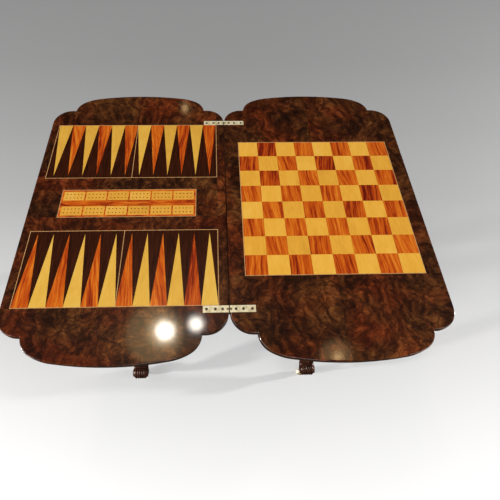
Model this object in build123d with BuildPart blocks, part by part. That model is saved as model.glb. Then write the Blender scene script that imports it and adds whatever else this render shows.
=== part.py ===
from build123d import *
from math import cos, radians, sin
import os

# A games and sewing table, in millimetres. +Z is up, +X runs towards the chess leaf and -Y towards
# the player. The origin is on the floor below the middle of the open top. It is modelled as
# photographed: the top swivelled a quarter turn and opened flat.

# Leaves of the top
playing_height = 712.0
leaf_length = 702.0
leaf_width = 427.0
leaf_thickness = 18.0
joint_gap = 2.0
ear_width = 50.0
ear_radius = 43.0
shoulder_radius = 42.75
flank_radius = 108.0
shoulder_start = 85.0
shoulder_end = 30.0
flank_end = 9.0
upper_edge_radius = 2.0
lower_edge_radius = 7.0

# Marquetry let into the leaves
veneer = 1.0
board_border = 33.5
knife_line = 0.1
stringing = 1.4
squares_a_side = 8
panel_border = 19.5
panel_depth = 168.5
panel_inner_edge = 72.5
points_a_side = 12
tip_margin = 6.5
cribbage_margin = 66.5
cribbage_depth = 72.0
cribbage_border = 4.0
cribbage_plate_gap = 3.0
cribbage_plate_depth = 24.0
cribbage_plates_a_row = 6
peg_pitch_along = 7.9
peg_pitch_across = 10.0
peg_hole_radius = 1.3
peg_hole_depth = 8.0

# Flap hinges, two strap plates and a two-pin link each
hinge_offset = 249.5
plate_length = 49.0
plate_width = 14.0
plate_thickness = 2.5
pin_offset = 3.0
pin_depth = 2.2
pin_radius = 1.0
pin_end_inset = 0.5
lug_length = 6.5
lug_depth = 4.6
link_width = 4.0
link_radius = 1.8
link_side_clearance = 0.15
link_end_clearance = 0.25
running_clearance = 0.05
let_in_clearance = 0.1
screw_head_radius = 3.0
screw_shank_radius = 1.5
screw_length = 12.0
screw_slot_width = 0.7
screw_slot_depth = 0.7
screw_sink = 0.1
hinge_screw_shares = (0.24, 0.52, 0.86)

# Swivel of the top
pivot_plate_side = 92.0
pivot_plate_thickness = 3.0
pivot_screw_inset = 12.0
pivot_radius = 8.0
pivot_length = 32.0
pivot_head_radius = 14.0
nut_radius = 15.0
nut_height = 7.0
washer_radius = 18.0
washer_thickness = 2.0
stop_arc_radius = 72.0
stop_peg_radius = 4.0
stop_peg_drop = 10.0
stop_slot_clearance = 0.4
swivel_turn = 90.0
swivel_gap = 0.3

# Carcass under the top
felt_thickness = 1.2
felt_width = 12.0
carcass_length = 600.0
carcass_depth = 352.0
carcass_height = 120.5
end_thickness = 18.0
back_thickness = 14.0
rail_thickness = 20.0
compartment_depth = 38.0
dustboard_thickness = 8.0
lower_rail_height = 10.0
drawer_runner_width = 34.0
partition_thickness = 8.0
partition_place = 50.0
pivot_board_thickness = 18.0
baize_thickness = 1.0
moulding_height = 9.0
moulding_reach = 6.0
moulding_round = 2.8

# Fitted sewing drawer
drawer_clearance = 1.0
drawer_back_gap = 38.0
drawer_front_thickness = 20.0
drawer_side_thickness = 9.0
drawer_side_height = 52.0
drawer_bottom_thickness = 5.0
divider_thickness = 5.0
divider_height = 36.0
divider_bay_share = 0.34
cross_shares = (0.34, 0.67)
tray_share = 0.42
cushion_height = 30.0
cushion_gap = 0.6
cushion_corner = 10.0
drawer_knob_share = 0.29

# Sliding work well
well_frame_length = 344.0
well_back_gap = 44.0
well_frame_height = 17.0
well_rail_width = 20.0
well_tongue = 6.0
well_tongue_height = 7.0
well_slide_clearance = 0.6
well_setback = 12.0
well_runner_width = 26.0
well_runner_height = 24.0
well_top_margin = 18.0
well_foot_length = 192.0
well_foot_depth = 150.0
well_depth = 150.0
well_wall = 9.0
well_base_thickness = 9.0
well_base_reach = 7.0
well_base_round = 4.0
lining_thickness = 1.0
well_knob_share = 0.26

# End supports
support_place = 282.0
bearer_width = 40.0
bearer_length = 300.0
bearer_height = 22.0
bearer_round = 12.0
column_place = 66.0
column_radius = 27.0
trestle_top = 200.0
trestle_height = 56.0
trestle_width = 58.0
trestle_length = 210.0
trestle_round = 9.0
leg_width = 47.0
leg_round = 9.0
foot_reach = 240.0
toe_radius = 18.0
castor_height = 44.0
toe_pad_radius = 16.0
toe_pad_height = 8.0
stretcher_radius = 24.0
stretcher_height_share = 0.5
finial_radius = 19.0
finial_height = 62.0
finial_seat = 8.0

# Castors
castor_plate_radius = 15.0
castor_plate_thickness = 3.0
pintle_radius = 4.0
pintle_head_radius = 6.5
pintle_head_height = 2.0
fork_boss_radius = 11.0
fork_boss_height = 5.0
fork_cheek = 2.4
fork_gap = 0.4
fork_axle_boss_radius = 5.5
fork_cheek_share = 0.75
castor_trail = 14.0
wheel_radius = 15.0
wheel_width = 14.0
wheel_round = 3.5
axle_radius = 2.5
axle_end = 1.0
castor_turns = {
    "front_right": (1, -1, 180.0),
    "front_left": (-1, -1, 75.0),
    "back_right": (1, 1, 205.0),
    "back_left": (-1, 1, 110.0),
}

# Turned knobs
knob_radius = 13.0
knob_reach = 24.0
small_knob_radius = 7.0
small_knob_reach = 15.0

overrun = 2.0

# Turned outlines, each a list of (radius share, length share, bulge share of the length)
column_shares = (
    (0.92, 0.0, 0.0),
    (0.92, 0.022, 0.0),
    (0.72, 0.034, 0.006),
    (0.72, 0.052, 0.0),
    (0.60, 0.062, 0.004),
    (0.62, 0.075, 0.0),
    (1.00, 0.175, -0.020),
    (0.56, 0.290, -0.012),
    (0.50, 0.312, 0.003),
    (0.74, 0.322, 0.0),
    (0.74, 0.344, -0.011),
    (0.55, 0.352, 0.0),
    (0.66, 0.700, -0.012),
    (0.80, 0.708, 0.0),
    (0.80, 0.730, -0.011),
    (0.62, 0.738, 0.0),
    (0.62, 0.756, 0.006),
    (0.96, 0.830, -0.012),
    (0.56, 0.905, -0.008),
    (0.56, 0.925, 0.004),
    (0.86, 0.945, 0.0),
    (0.86, 0.968, -0.010),
    (0.96, 0.976, 0.0),
    (0.96, 1.0, 0.0),
)
stretcher_shares = (
    (0.95, 0.0, 0.0),
    (0.95, 0.014, 0.0),
    (0.62, 0.024, 0.0),
    (0.62, 0.040, 0.004),
    (0.86, 0.050, 0.0),
    (0.86, 0.066, -0.008),
    (0.55, 0.074, 0.0),
    (0.72, 0.180, -0.010),
    (0.50, 0.330, -0.008),
    (0.76, 0.340, 0.0),
    (0.76, 0.358, -0.009),
    (0.58, 0.366, 0.0),
    (0.90, 0.420, -0.006),
    (1.00, 0.440, 0.0),
    (1.00, 0.560, 0.0),
    (0.90, 0.580, 0.0),
    (0.58, 0.634, -0.006),
    (0.76, 0.642, 0.0),
    (0.76, 0.660, -0.009),
    (0.50, 0.670, 0.0),
    (0.72, 0.820, -0.008),
    (0.55, 0.926, -0.010),
    (0.86, 0.934, 0.0),
    (0.86, 0.950, -0.008),
    (0.62, 0.960, 0.0),
    (0.62, 0.976, 0.004),
    (0.95, 0.986, 0.0),
    (0.95, 1.0, 0.0),
)
finial_shares = (
    (0.75, 0.0, 0.0),
    (0.75, 0.09, 0.0),
    (0.42, 0.17, 0.02),
    (0.42, 0.22, 0.0),
    (1.00, 0.50, -0.06),
    (0.62, 0.66, 0.03),
    (0.82, 0.68, 0.0),
    (0.82, 0.74, -0.03),
    (0.45, 0.80, 0.0),
    (0.30, 0.96, -0.04),
    (0.0, 1.0, 0.0),
)
knob_shares = (
    (0.70, 0.0, 0.0),
    (0.70, 0.12, 0.0),
    (0.42, 0.22, 0.03),
    (0.42, 0.36, 0.0),
    (0.92, 0.50, 0.03),
    (1.00, 0.66, -0.04),
    (0.62, 0.90, -0.07),
    (0.0, 1.0, 0.0),
)
drop_shares = (
    (0.90, 0.0, 0.0),
    (0.90, 0.16, 0.0),
    (0.50, 0.30, 0.04),
    (1.00, 0.58, -0.08),
    (0.45, 0.84, -0.05),
    (0.0, 1.0, 0.0),
)

# Leg outline shares: outward from the trestle to the foot's reach, and up from the castor to the
# trestle's top
leg_upper_shares = ((0.0, 0.97), (0.20, 1.0), (0.44, 0.80), (0.62, 0.46), (0.76, 0.27))
leg_lower_shares = ((0.0, 0.66), (0.18, 0.60), (0.40, 0.36), (0.58, 0.17))

# Sizes, heights and places worked out from the sizes above
square = (leaf_width - 2 * board_border) / squares_a_side
panel_length = leaf_width - 2 * panel_border
cribbage_length = leaf_width - 2 * cribbage_margin
leaf_bottom = playing_height - leaf_thickness
leaf_middle = joint_gap / 2 + leaf_width / 2
carcass_top = leaf_bottom - swivel_gap - felt_thickness
carcass_bottom = carcass_top - carcass_height
compartment_floor = carcass_top - compartment_depth
dustboard_bottom = compartment_floor - dustboard_thickness
drawer_floor = carcass_bottom + lower_rail_height
front_face = -carcass_depth / 2
inner_front = front_face + rail_thickness
inner_back = carcass_depth / 2 - back_thickness
inner_end = carcass_length / 2 - end_thickness
drawer_depth = inner_back - front_face - drawer_back_gap
well_frame_depth = carcass_depth - well_setback - well_back_gap
well_top_length = well_frame_length - 2 * well_top_margin
well_top_depth = well_frame_depth - 2 * well_top_margin
pivot_place = leaf_middle / 2
trestle_bottom = trestle_top - trestle_height
column_length = carcass_bottom - bearer_height - trestle_top

os.makedirs("parts", exist_ok=True)


def save(piece, label):
    piece.label = label
    export_step(piece, f"parts/{label}.step")


def block(x, y, z):
    """A box between two corners, each side given as (low, high)."""
    size = (x[1] - x[0], y[1] - y[0], z[1] - z[0])
    middle = ((x[0] + x[1]) / 2, (y[0] + y[1]) / 2, (z[0] + z[1]) / 2)
    with Locations(middle):
        return Box(*size)


def turned(shares, radius, length):
    """A turned piece standing on the origin. Its outline has straight and bulged steps, and a tip
    that ends on the axis is rounded."""
    with BuildPart() as piece:
        with BuildSketch(Plane.XZ):
            with BuildLine():
                last = (shares[0][0] * radius, 0)
                Line((0, 0), last)
                for radius_share, length_share, bulge_share in shares[1:]:
                    point = (radius_share * radius, length_share * length)
                    if radius_share == 0:
                        TangentArc(point, last, tangent=(1, 0))
                    elif bulge_share:
                        SagittaArc(last, point, bulge_share * length)
                    else:
                        Line(last, point)
                    last = point
                if last[0] > 0:
                    Line(last, (0, length))
                Line((0, length), (0, 0))
            make_face()
        revolve(axis=Axis.Z)
    return piece.part


def leaf_face():
    """Outline of one leaf about its own middle: long sides, rounded ears, cusps and a crown."""
    start, end, slope = radians(shoulder_start), radians(shoulder_end), radians(flank_end)
    shoulder_run = shoulder_radius * (sin(start) - sin(end))
    flank_run = flank_radius * (sin(end) - sin(slope))
    crown_radius = (leaf_width / 2 - ear_width - shoulder_run - flank_run) / sin(slope)
    rise = (
        shoulder_radius * (cos(end) - cos(start))
        + flank_radius * (cos(slope) - cos(end))
        + crown_radius * (1 - cos(slope))
    )
    cusp_height = leaf_length / 2 - rise
    side = leaf_width / 2
    with BuildSketch() as outline:
        with BuildLine():
            Line((side, 0), (side, cusp_height - ear_radius))
            ear = JernArc((side, cusp_height - ear_radius), (0, 1), ear_radius, 90)
            if ear_width > ear_radius:
                Line(ear @ 1, (side - ear_width, cusp_height))
            shoulder = JernArc(
                (side - ear_width, cusp_height),
                (-cos(start), sin(start)),
                shoulder_radius,
                shoulder_start - shoulder_end,
            )
            flank = JernArc(shoulder @ 1, shoulder % 1, flank_radius, shoulder_end - flank_end)
            JernArc(flank @ 1, flank % 1, crown_radius, flank_end)
            mirror(about=Plane.YZ)
            mirror(about=Plane.XZ)
        make_face()
    return outline.sketch


def countersunk_screw():
    """A slotted screw with its head's face on the origin and its shank downwards."""
    head_height = screw_head_radius - screw_shank_radius
    with BuildPart() as screw:
        with BuildSketch(Plane.XZ):
            with BuildLine():
                Polyline(
                    (0, 0),
                    (screw_head_radius - screw_sink, 0),
                    (screw_shank_radius - screw_sink, -head_height),
                    (screw_shank_radius - screw_sink, screw_shank_radius - screw_length),
                    (0, -screw_length),
                    close=True,
                )
            make_face()
        revolve(axis=Axis.Z)
        Box(screw_head_radius * 2, screw_slot_width, screw_slot_depth * 2, mode=Mode.SUBTRACT)
    return screw.part


def hinge_screw_places(side):
    return [
        (side * (joint_gap / 2 + share * plate_length), row * hinge_offset)
        for row in (1, -1)
        for share in hinge_screw_shares
    ]


def leaf_board(side):
    """A leaf with its edges worked, and the recesses and screw holes of its two hinge plates."""
    with BuildPart() as board:
        with BuildSketch(Plane.XY.offset(leaf_bottom)):
            with Locations((side * leaf_middle, 0)):
                add(leaf_face())
        extrude(amount=leaf_thickness)
        fillet(board.faces().sort_by(Axis.Z)[0].edges(), lower_edge_radius)
        fillet(board.faces().sort_by(Axis.Z)[-1].edges(), upper_edge_radius)
        recess_length = plate_length + let_in_clearance
        lug_recess = lug_length + let_in_clearance
        edge = joint_gap / 2
        for length, depth in ((recess_length, plate_thickness), (lug_recess, lug_depth)):
            with BuildSketch(Plane.XY.offset(playing_height)):
                for row in (1, -1):
                    with Locations((side * (edge + length / 2), row * hinge_offset)):
                        Rectangle(length, plate_width + 2 * let_in_clearance)
                    with Locations((side * edge, row * hinge_offset)):
                        Rectangle(joint_gap, plate_width + 2 * let_in_clearance)
            extrude(amount=-(depth + let_in_clearance), mode=Mode.SUBTRACT)
        with Locations(*[(x, y, playing_height) for x, y in hinge_screw_places(side)]):
            Hole(radius=screw_shank_radius, depth=screw_length + let_in_clearance)
    return board.part


def hinge_plates(side):
    """Two strap plates with a slotted lug for the link at the joint."""
    edge = joint_gap / 2
    pin_height = playing_height - pin_depth
    with BuildPart() as plates:
        for length, depth in ((plate_length, plate_thickness), (lug_length, lug_depth)):
            with BuildSketch(Plane.XY.offset(playing_height)):
                with Locations(
                    *[(side * (edge + length / 2), row * hinge_offset) for row in (1, -1)]
                ):
                    Rectangle(length, plate_width)
            extrude(amount=-depth)
        slot_end = pin_offset + link_radius + link_end_clearance
        with BuildSketch(Plane.XY.offset(playing_height)):
            with Locations(*[(side * slot_end / 2, row * hinge_offset) for row in (1, -1)]):
                Rectangle(slot_end, link_width + 2 * link_side_clearance)
        extrude(amount=-(lug_depth + overrun), mode=Mode.SUBTRACT)
        with BuildSketch(Plane.XZ):
            with Locations((side * pin_offset, pin_height)):
                Circle(pin_radius + running_clearance)
        extrude(amount=leaf_length / 2, both=True, mode=Mode.SUBTRACT)
        with Locations(*[(x, y, playing_height) for x, y in hinge_screw_places(side)]):
            CounterSinkHole(
                radius=screw_shank_radius,
                counter_sink_radius=screw_head_radius,
                counter_sink_angle=90,
            )
    return plates.part


# Chess leaf, which carries the pivot
board_side = square * squares_a_side
inlay_floor = playing_height - veneer
squares_grid = [
    (column, row) for column in range(squares_a_side) for row in range(squares_a_side)
]


def square_centre(column, row):
    """Columns count from the joint, rows from the far side."""
    return (
        leaf_middle - board_side / 2 + (column + 0.5) * square,
        board_side / 2 - (row + 0.5) * square,
    )


pivot_spot = (pivot_place, pivot_place)
stop_spot = (pivot_place + stop_arc_radius, pivot_place)
pivot_screw_pitch = pivot_plate_side - 2 * pivot_screw_inset

with BuildPart() as chess_leaf:
    add(leaf_board(1))
    with BuildSketch(Plane.XY.offset(playing_height)):
        with Locations((leaf_middle, 0)):
            Rectangle(board_side + 2 * stringing, board_side + 2 * stringing)
    extrude(amount=-veneer, mode=Mode.SUBTRACT)
    with BuildSketch(Plane.XY.offset(leaf_bottom)):
        with Locations(pivot_spot):
            Rectangle(
                pivot_plate_side + 2 * let_in_clearance, pivot_plate_side + 2 * let_in_clearance
            )
    extrude(amount=pivot_plate_thickness + let_in_clearance, mode=Mode.SUBTRACT)
    with BuildSketch(Plane.XY.offset(leaf_bottom)):
        with Locations(pivot_spot):
            with GridLocations(pivot_screw_pitch, pivot_screw_pitch, 2, 2):
                Circle(screw_shank_radius)
        with Locations(stop_spot):
            Circle(stop_peg_radius)
    extrude(amount=screw_length + let_in_clearance, mode=Mode.SUBTRACT)
save(chess_leaf.part, "chess_leaf")

for label, parity in (("chess_pale_squares", 0), ("chess_rosewood_squares", 1)):
    with BuildPart() as squares:
        with BuildSketch(Plane.XY.offset(inlay_floor)):
            with Locations(
                *[square_centre(c, r) for c, r in squares_grid if (c + r) % 2 == parity]
            ):
                Rectangle(square - knife_line, square - knife_line)
        extrude(amount=veneer)
    save(squares.part, label)

with BuildPart() as chess_stringing:
    with BuildSketch(Plane.XY.offset(inlay_floor)):
        with Locations((leaf_middle, 0)):
            Rectangle(board_side + 2 * stringing, board_side + 2 * stringing)
            Rectangle(board_side, board_side, mode=Mode.SUBTRACT)
    extrude(amount=veneer)
save(chess_stringing.part, "chess_stringing")

save(hinge_plates(1), "chess_hinge_plates")

screw_face = playing_height - screw_sink
pivot_screw_face = leaf_bottom + screw_sink
pivot_screw_places = [
    (pivot_place + i * pivot_screw_pitch / 2, pivot_place + j * pivot_screw_pitch / 2)
    for i in (-1, 1)
    for j in (-1, 1)
]
with BuildPart() as chess_leaf_screws:
    with Locations(*[(x, y, screw_face) for x, y in hinge_screw_places(1)]):
        add(countersunk_screw())
    with Locations(
        *[Location((x, y, pivot_screw_face), (180, 0, 0)) for x, y in pivot_screw_places]
    ):
        add(countersunk_screw())
save(chess_leaf_screws.part, "chess_leaf_screws")

# Swivel: a plate let into the leaf, the bolt that hangs from it, its nut, and the stop peg
bolt_top = leaf_bottom + pivot_plate_thickness
bolt_bottom = leaf_bottom - pivot_length
board_bottom = carcass_top - pivot_board_thickness
with BuildPart() as pivot_plate:
    with BuildSketch(Plane.XY.offset(leaf_bottom)):
        with Locations(pivot_spot):
            RectangleRounded(pivot_plate_side, pivot_plate_side, pivot_plate_thickness)
            Circle(pivot_radius, mode=Mode.SUBTRACT)
    extrude(amount=pivot_plate_thickness)
    with Locations(
        *[Location((x, y, leaf_bottom), (180, 0, 0)) for x, y in pivot_screw_places]
    ):
        CounterSinkHole(
            radius=screw_shank_radius,
            counter_sink_radius=screw_head_radius,
            counter_sink_angle=90,
        )
save(pivot_plate.part, "pivot_plate")

with BuildPart() as pivot_bolt:
    with BuildSketch(Plane.XY.offset(bolt_bottom)):
        with Locations(pivot_spot):
            Circle(pivot_radius - running_clearance)
    extrude(amount=bolt_top - bolt_bottom)
save(pivot_bolt.part, "pivot_bolt")

nut_top = board_bottom - swivel_gap
with BuildPart() as pivot_nut:
    with BuildSketch(Plane.XY.offset(nut_top)):
        with Locations(pivot_spot):
            Circle(washer_radius)
            Circle(pivot_radius, mode=Mode.SUBTRACT)
    extrude(amount=-washer_thickness)
    with BuildSketch(Plane.XY.offset(nut_top - washer_thickness)):
        with Locations(pivot_spot):
            RegularPolygon(nut_radius, 6)
            Circle(pivot_radius, mode=Mode.SUBTRACT)
    extrude(amount=-nut_height)
save(pivot_nut.part, "pivot_nut")

with BuildPart() as stop_peg:
    with BuildSketch(Plane.XY.offset(leaf_bottom - stop_peg_drop)):
        with Locations(stop_spot):
            Circle(stop_peg_radius - running_clearance)
    extrude(amount=stop_peg_drop + screw_length)
    chamfer(stop_peg.faces().sort_by(Axis.Z)[0].edges(), stop_peg_radius / 4)
save(stop_peg.part, "stop_peg")

# Links that join the two leaves, with their pins
pin_height = playing_height - pin_depth
with BuildPart() as hinge_links:
    for row in (1, -1):
        middle = Plane.XZ.offset(-row * hinge_offset)
        with BuildSketch(middle):
            with Locations((0, pin_height)):
                SlotCenterToCenter(pin_offset * 2, link_radius * 2)
            with Locations((pin_offset, pin_height), (-pin_offset, pin_height)):
                Circle(pin_radius + running_clearance, mode=Mode.SUBTRACT)
        extrude(amount=link_width / 2, both=True)
    for row in (1, -1):
        middle = Plane.XZ.offset(-row * hinge_offset)
        with BuildSketch(middle):
            with Locations((pin_offset, pin_height), (-pin_offset, pin_height)):
                Circle(pin_radius)
        extrude(amount=plate_width / 2 - pin_end_inset, both=True)
save(hinge_links.part, "hinge_links")

# Backgammon leaf, the flap
panel_middle = panel_inner_edge + panel_depth / 2
panel_places = [(-leaf_middle, row * panel_middle) for row in (1, -1)]
point_base = panel_length / points_a_side
crib_plate_length = (
    cribbage_length
    - 2 * cribbage_border
    - (cribbage_plates_a_row - 1) * cribbage_plate_gap
) / cribbage_plates_a_row
crib_row_offset = cribbage_depth / 2 - cribbage_border - cribbage_plate_depth / 2
crib_pitch = crib_plate_length + cribbage_plate_gap
crib_first = -leaf_middle - crib_pitch * (cribbage_plates_a_row - 1) / 2
crib_plate_places = [
    (crib_first + index * crib_pitch, row * crib_row_offset)
    for index in range(cribbage_plates_a_row)
    for row in (1, -1)
]
peg_columns = 5
peg_rows = 2

with BuildPart() as backgammon_leaf:
    add(leaf_board(-1))
    with BuildSketch(Plane.XY.offset(playing_height)):
        with Locations(*panel_places):
            Rectangle(panel_length + 2 * stringing, panel_depth + 2 * stringing)
        with Locations((-leaf_middle, 0)):
            Rectangle(cribbage_length + 2 * stringing, cribbage_depth + 2 * stringing)
    extrude(amount=-veneer, mode=Mode.SUBTRACT)
    with BuildSketch(Plane.XY.offset(inlay_floor)):
        with Locations(*crib_plate_places):
            with GridLocations(peg_pitch_along, peg_pitch_across, peg_columns, peg_rows):
                Circle(peg_hole_radius)
    extrude(amount=-peg_hole_depth, mode=Mode.SUBTRACT)
save(backgammon_leaf.part, "backgammon_leaf")


def point_triangle(row, index):
    """One playing point, its base outermost. row is 1 for the far panel and -1 for the near."""
    left = -leaf_middle - panel_length / 2 + index * point_base
    base = row * (panel_middle + panel_depth / 2)
    tip = row * (panel_middle - panel_depth / 2 + tip_margin)
    return [(left, base), (left + point_base, base), (left + point_base / 2, tip)]


for label, parity in (("backgammon_pale_points", 0), ("backgammon_rosewood_points", 1)):
    with BuildPart() as points:
        with BuildSketch(Plane.XY.offset(inlay_floor)):
            for row in (1, -1):
                for index in range(points_a_side):
                    is_pale = (index + (0 if row == 1 else 1)) % 2 == 0
                    if is_pale == (parity == 0):
                        with BuildLine():
                            Polyline(*point_triangle(row, index), close=True)
                        make_face()
            with Locations(*panel_places):
                Rectangle(stringing, panel_depth, mode=Mode.SUBTRACT)
        extrude(amount=veneer)
    save(points.part, label)

# The dark ground is a saw-toothed piece each side of the middle line of each panel
half_points = points_a_side // 2
with BuildPart() as backgammon_ground:
    with BuildSketch(Plane.XY.offset(inlay_floor)):
        for row in (1, -1):
            inner = row * (panel_middle - panel_depth / 2)
            for half in (0, 1):
                first = half * half_points
                corners = []
                for index in range(first, first + half_points):
                    base_left, base_right, tip = point_triangle(row, index)
                    corners += [base_left, tip]
                corners.append(base_right)
                left = corners[0][0]
                right = corners[-1][0]
                with BuildLine():
                    Polyline(*corners, (right, inner), (left, inner), close=True)
                make_face()
        with Locations(*panel_places):
            Rectangle(stringing, panel_depth, mode=Mode.SUBTRACT)
    extrude(amount=veneer)
save(backgammon_ground.part, "backgammon_ground")

with BuildPart() as flap_stringing:
    with BuildSketch(Plane.XY.offset(inlay_floor)):
        with Locations(*panel_places):
            Rectangle(panel_length + 2 * stringing, panel_depth + 2 * stringing)
            Rectangle(panel_length, panel_depth, mode=Mode.SUBTRACT)
            Rectangle(stringing, panel_depth)
        with Locations((-leaf_middle, 0)):
            Rectangle(cribbage_length + 2 * stringing, cribbage_depth + 2 * stringing)
            Rectangle(cribbage_length, cribbage_depth, mode=Mode.SUBTRACT)
    extrude(amount=veneer)
save(flap_stringing.part, "flap_stringing")

with BuildPart() as cribbage_plates:
    with BuildSketch(Plane.XY.offset(inlay_floor)):
        with Locations(*crib_plate_places):
            Rectangle(crib_plate_length, cribbage_plate_depth)
        with Locations(*crib_plate_places):
            with GridLocations(peg_pitch_along, peg_pitch_across, peg_columns, peg_rows):
                Circle(peg_hole_radius, mode=Mode.SUBTRACT)
    extrude(amount=veneer)
save(cribbage_plates.part, "cribbage_plates")

with BuildPart() as cribbage_frame:
    with BuildSketch(Plane.XY.offset(inlay_floor)):
        with Locations((-leaf_middle, 0)):
            Rectangle(cribbage_length, cribbage_depth)
        with Locations(*crib_plate_places):
            Rectangle(crib_plate_length, cribbage_plate_depth, mode=Mode.SUBTRACT)
    extrude(amount=veneer)
save(cribbage_frame.part, "cribbage_frame")

save(hinge_plates(-1), "flap_hinge_plates")

with BuildPart() as flap_screws:
    with Locations(*[(x, y, screw_face) for x, y in hinge_screw_places(-1)]):
        add(countersunk_screw())
save(flap_screws.part, "flap_screws")

# Carcass: ends, back and rails, with the games compartment under the top
with BuildPart() as carcass_ends:
    for side in (1, -1):
        inner, outer = side * inner_end, side * carcass_length / 2
        block(
            (min(inner, outer), max(inner, outer)),
            (front_face, carcass_depth / 2),
            (carcass_bottom, carcass_top),
        )
save(carcass_ends.part, "carcass_ends")

with BuildPart() as carcass_back:
    block((-inner_end, inner_end), (inner_back, carcass_depth / 2), (carcass_bottom, carcass_top))
save(carcass_back.part, "carcass_back")

with BuildPart() as front_rails:
    block((-inner_end, inner_end), (front_face, inner_front), (dustboard_bottom, carcass_top))
    block((-inner_end, inner_end), (front_face, inner_front), (carcass_bottom, drawer_floor))
save(front_rails.part, "front_rails")

with BuildPart() as dustboard:
    block((-inner_end, inner_end), (inner_front, inner_back), (dustboard_bottom, compartment_floor))
save(dustboard.part, "dustboard")

with BuildPart() as drawer_runners:
    for side in (1, -1):
        ends = sorted((side * inner_end, side * (inner_end - drawer_runner_width)))
        block(ends, (inner_front, inner_back), (carcass_bottom, drawer_floor))
save(drawer_runners.part, "drawer_runners")

with BuildPart() as compartment_partition:
    block(
        (partition_place - partition_thickness, partition_place),
        (inner_front, inner_back),
        (compartment_floor, carcass_top),
    )
save(compartment_partition.part, "compartment_partition")

with BuildPart() as compartment_baize:
    block(
        (-inner_end, partition_place - partition_thickness),
        (inner_front, inner_back),
        (compartment_floor, compartment_floor + baize_thickness),
    )
save(compartment_baize.part, "compartment_baize")

# The stop peg's arc runs from the open position to a quarter turn back
slot_radius = stop_peg_radius + stop_slot_clearance
slot_depth = stop_peg_drop + swivel_gap
stop_arc = CenterArc(pivot_spot, stop_arc_radius, 0, -swivel_turn)
with BuildPart() as pivot_board:
    block((partition_place, inner_end), (inner_front, inner_back), (board_bottom, carcass_top))
    with BuildSketch(Plane.XY.offset(carcass_top)):
        with Locations(pivot_spot):
            Circle(pivot_radius)
    extrude(amount=-pivot_board_thickness, mode=Mode.SUBTRACT)
    with BuildSketch(Plane.XY.offset(carcass_top)):
        SlotArc(stop_arc, slot_radius * 2)
    extrude(amount=-slot_depth, mode=Mode.SUBTRACT)
save(pivot_board.part, "pivot_board")

with BuildPart() as slide_felts:
    felt = (carcass_top, carcass_top + felt_thickness)
    felt_front = front_face + (rail_thickness - felt_width) / 2
    block((-inner_end, inner_end), (felt_front, felt_front + felt_width), felt)
    felt_back = carcass_depth / 2 - (back_thickness - felt_width) / 2
    block((-inner_end, inner_end), (felt_back - felt_width, felt_back), felt)
    end_gap = (end_thickness - felt_width) / 2
    for side in (1, -1):
        ends = sorted((side * (inner_end + end_gap), side * (inner_end + end_gap + felt_width)))
        block(ends, (felt_front, felt_back), felt)
save(slide_felts.part, "slide_felts")

# Moulding round the foot of the carcass, mitred at the corners
half_length, half_depth = carcass_length / 2, carcass_depth / 2
with BuildPart() as frieze_moulding:
    for angle, run, stand in (
        (0, half_length, half_depth),
        (90, half_depth, half_length),
        (180, half_length, half_depth),
        (270, half_depth, half_length),
    ):
        with BuildPart(mode=Mode.PRIVATE) as strip:
            with BuildSketch(Plane.XY.offset(carcass_bottom)):
                with BuildLine():
                    Polyline(
                        (-run, -stand),
                        (run, -stand),
                        (run + moulding_reach, -stand - moulding_reach),
                        (-run - moulding_reach, -stand - moulding_reach),
                        close=True,
                    )
                make_face()
            extrude(amount=moulding_height)
            long_edges = strip.edges().filter_by(Axis.X).group_by(Axis.Y)[0]
            fillet(long_edges, moulding_round)
        with Locations(Location((0, 0, 0), (0, 0, angle))):
            add(strip.part)
save(frieze_moulding.part, "frieze_moulding")

# Fitted sewing drawer, closed
drawer_half = inner_end - drawer_clearance
drawer_bottom_height = drawer_floor + drawer_bottom_thickness
side_inner = drawer_half - drawer_side_thickness
drawer_inner_front = front_face + drawer_front_thickness
drawer_inner_back = front_face + drawer_depth - drawer_side_thickness
drawer_base = drawer_floor + drawer_clearance
with BuildPart() as drawer_front:
    block(
        (-drawer_half, drawer_half),
        (front_face, drawer_inner_front),
        (drawer_base, dustboard_bottom - drawer_clearance),
    )
    chamfer(drawer_front.faces().sort_by(Axis.Y)[0].edges(), drawer_clearance)
save(drawer_front.part, "drawer_front")

side_base = drawer_floor + swivel_gap
with BuildPart() as drawer_sides:
    for side in (1, -1):
        ends = sorted((side * side_inner, side * drawer_half))
        block(
            ends,
            (drawer_inner_front, front_face + drawer_depth),
            (side_base, side_base + drawer_side_height),
        )
save(drawer_sides.part, "drawer_sides")

tray_floor = side_base + drawer_bottom_thickness
with BuildPart() as drawer_back:
    block(
        (-side_inner, side_inner),
        (drawer_inner_back, front_face + drawer_depth),
        (tray_floor, side_base + drawer_side_height),
    )
save(drawer_back.part, "drawer_back")

with BuildPart() as drawer_bottom:
    block(
        (-side_inner, side_inner),
        (drawer_inner_front, front_face + drawer_depth),
        (side_base, tray_floor),
    )
save(drawer_bottom.part, "drawer_bottom")

bay_edge = side_inner * divider_bay_share
tray_depth = drawer_inner_back - drawer_inner_front
tray_line = drawer_inner_front + tray_depth * tray_share
divider_levels = (tray_floor, tray_floor + divider_height)
with BuildPart() as drawer_dividers:
    for side in (1, -1):
        ends = sorted((side * bay_edge, side * (bay_edge + divider_thickness)))
        block(ends, (drawer_inner_front, drawer_inner_back), divider_levels)
        ends = sorted((side * (bay_edge + divider_thickness), side * side_inner))
        for share in cross_shares:
            line = drawer_inner_front + tray_depth * share
            block(ends, (line, line + divider_thickness), divider_levels)
    block((-bay_edge, bay_edge), (tray_line, tray_line + divider_thickness), divider_levels)
save(drawer_dividers.part, "drawer_dividers")

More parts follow.
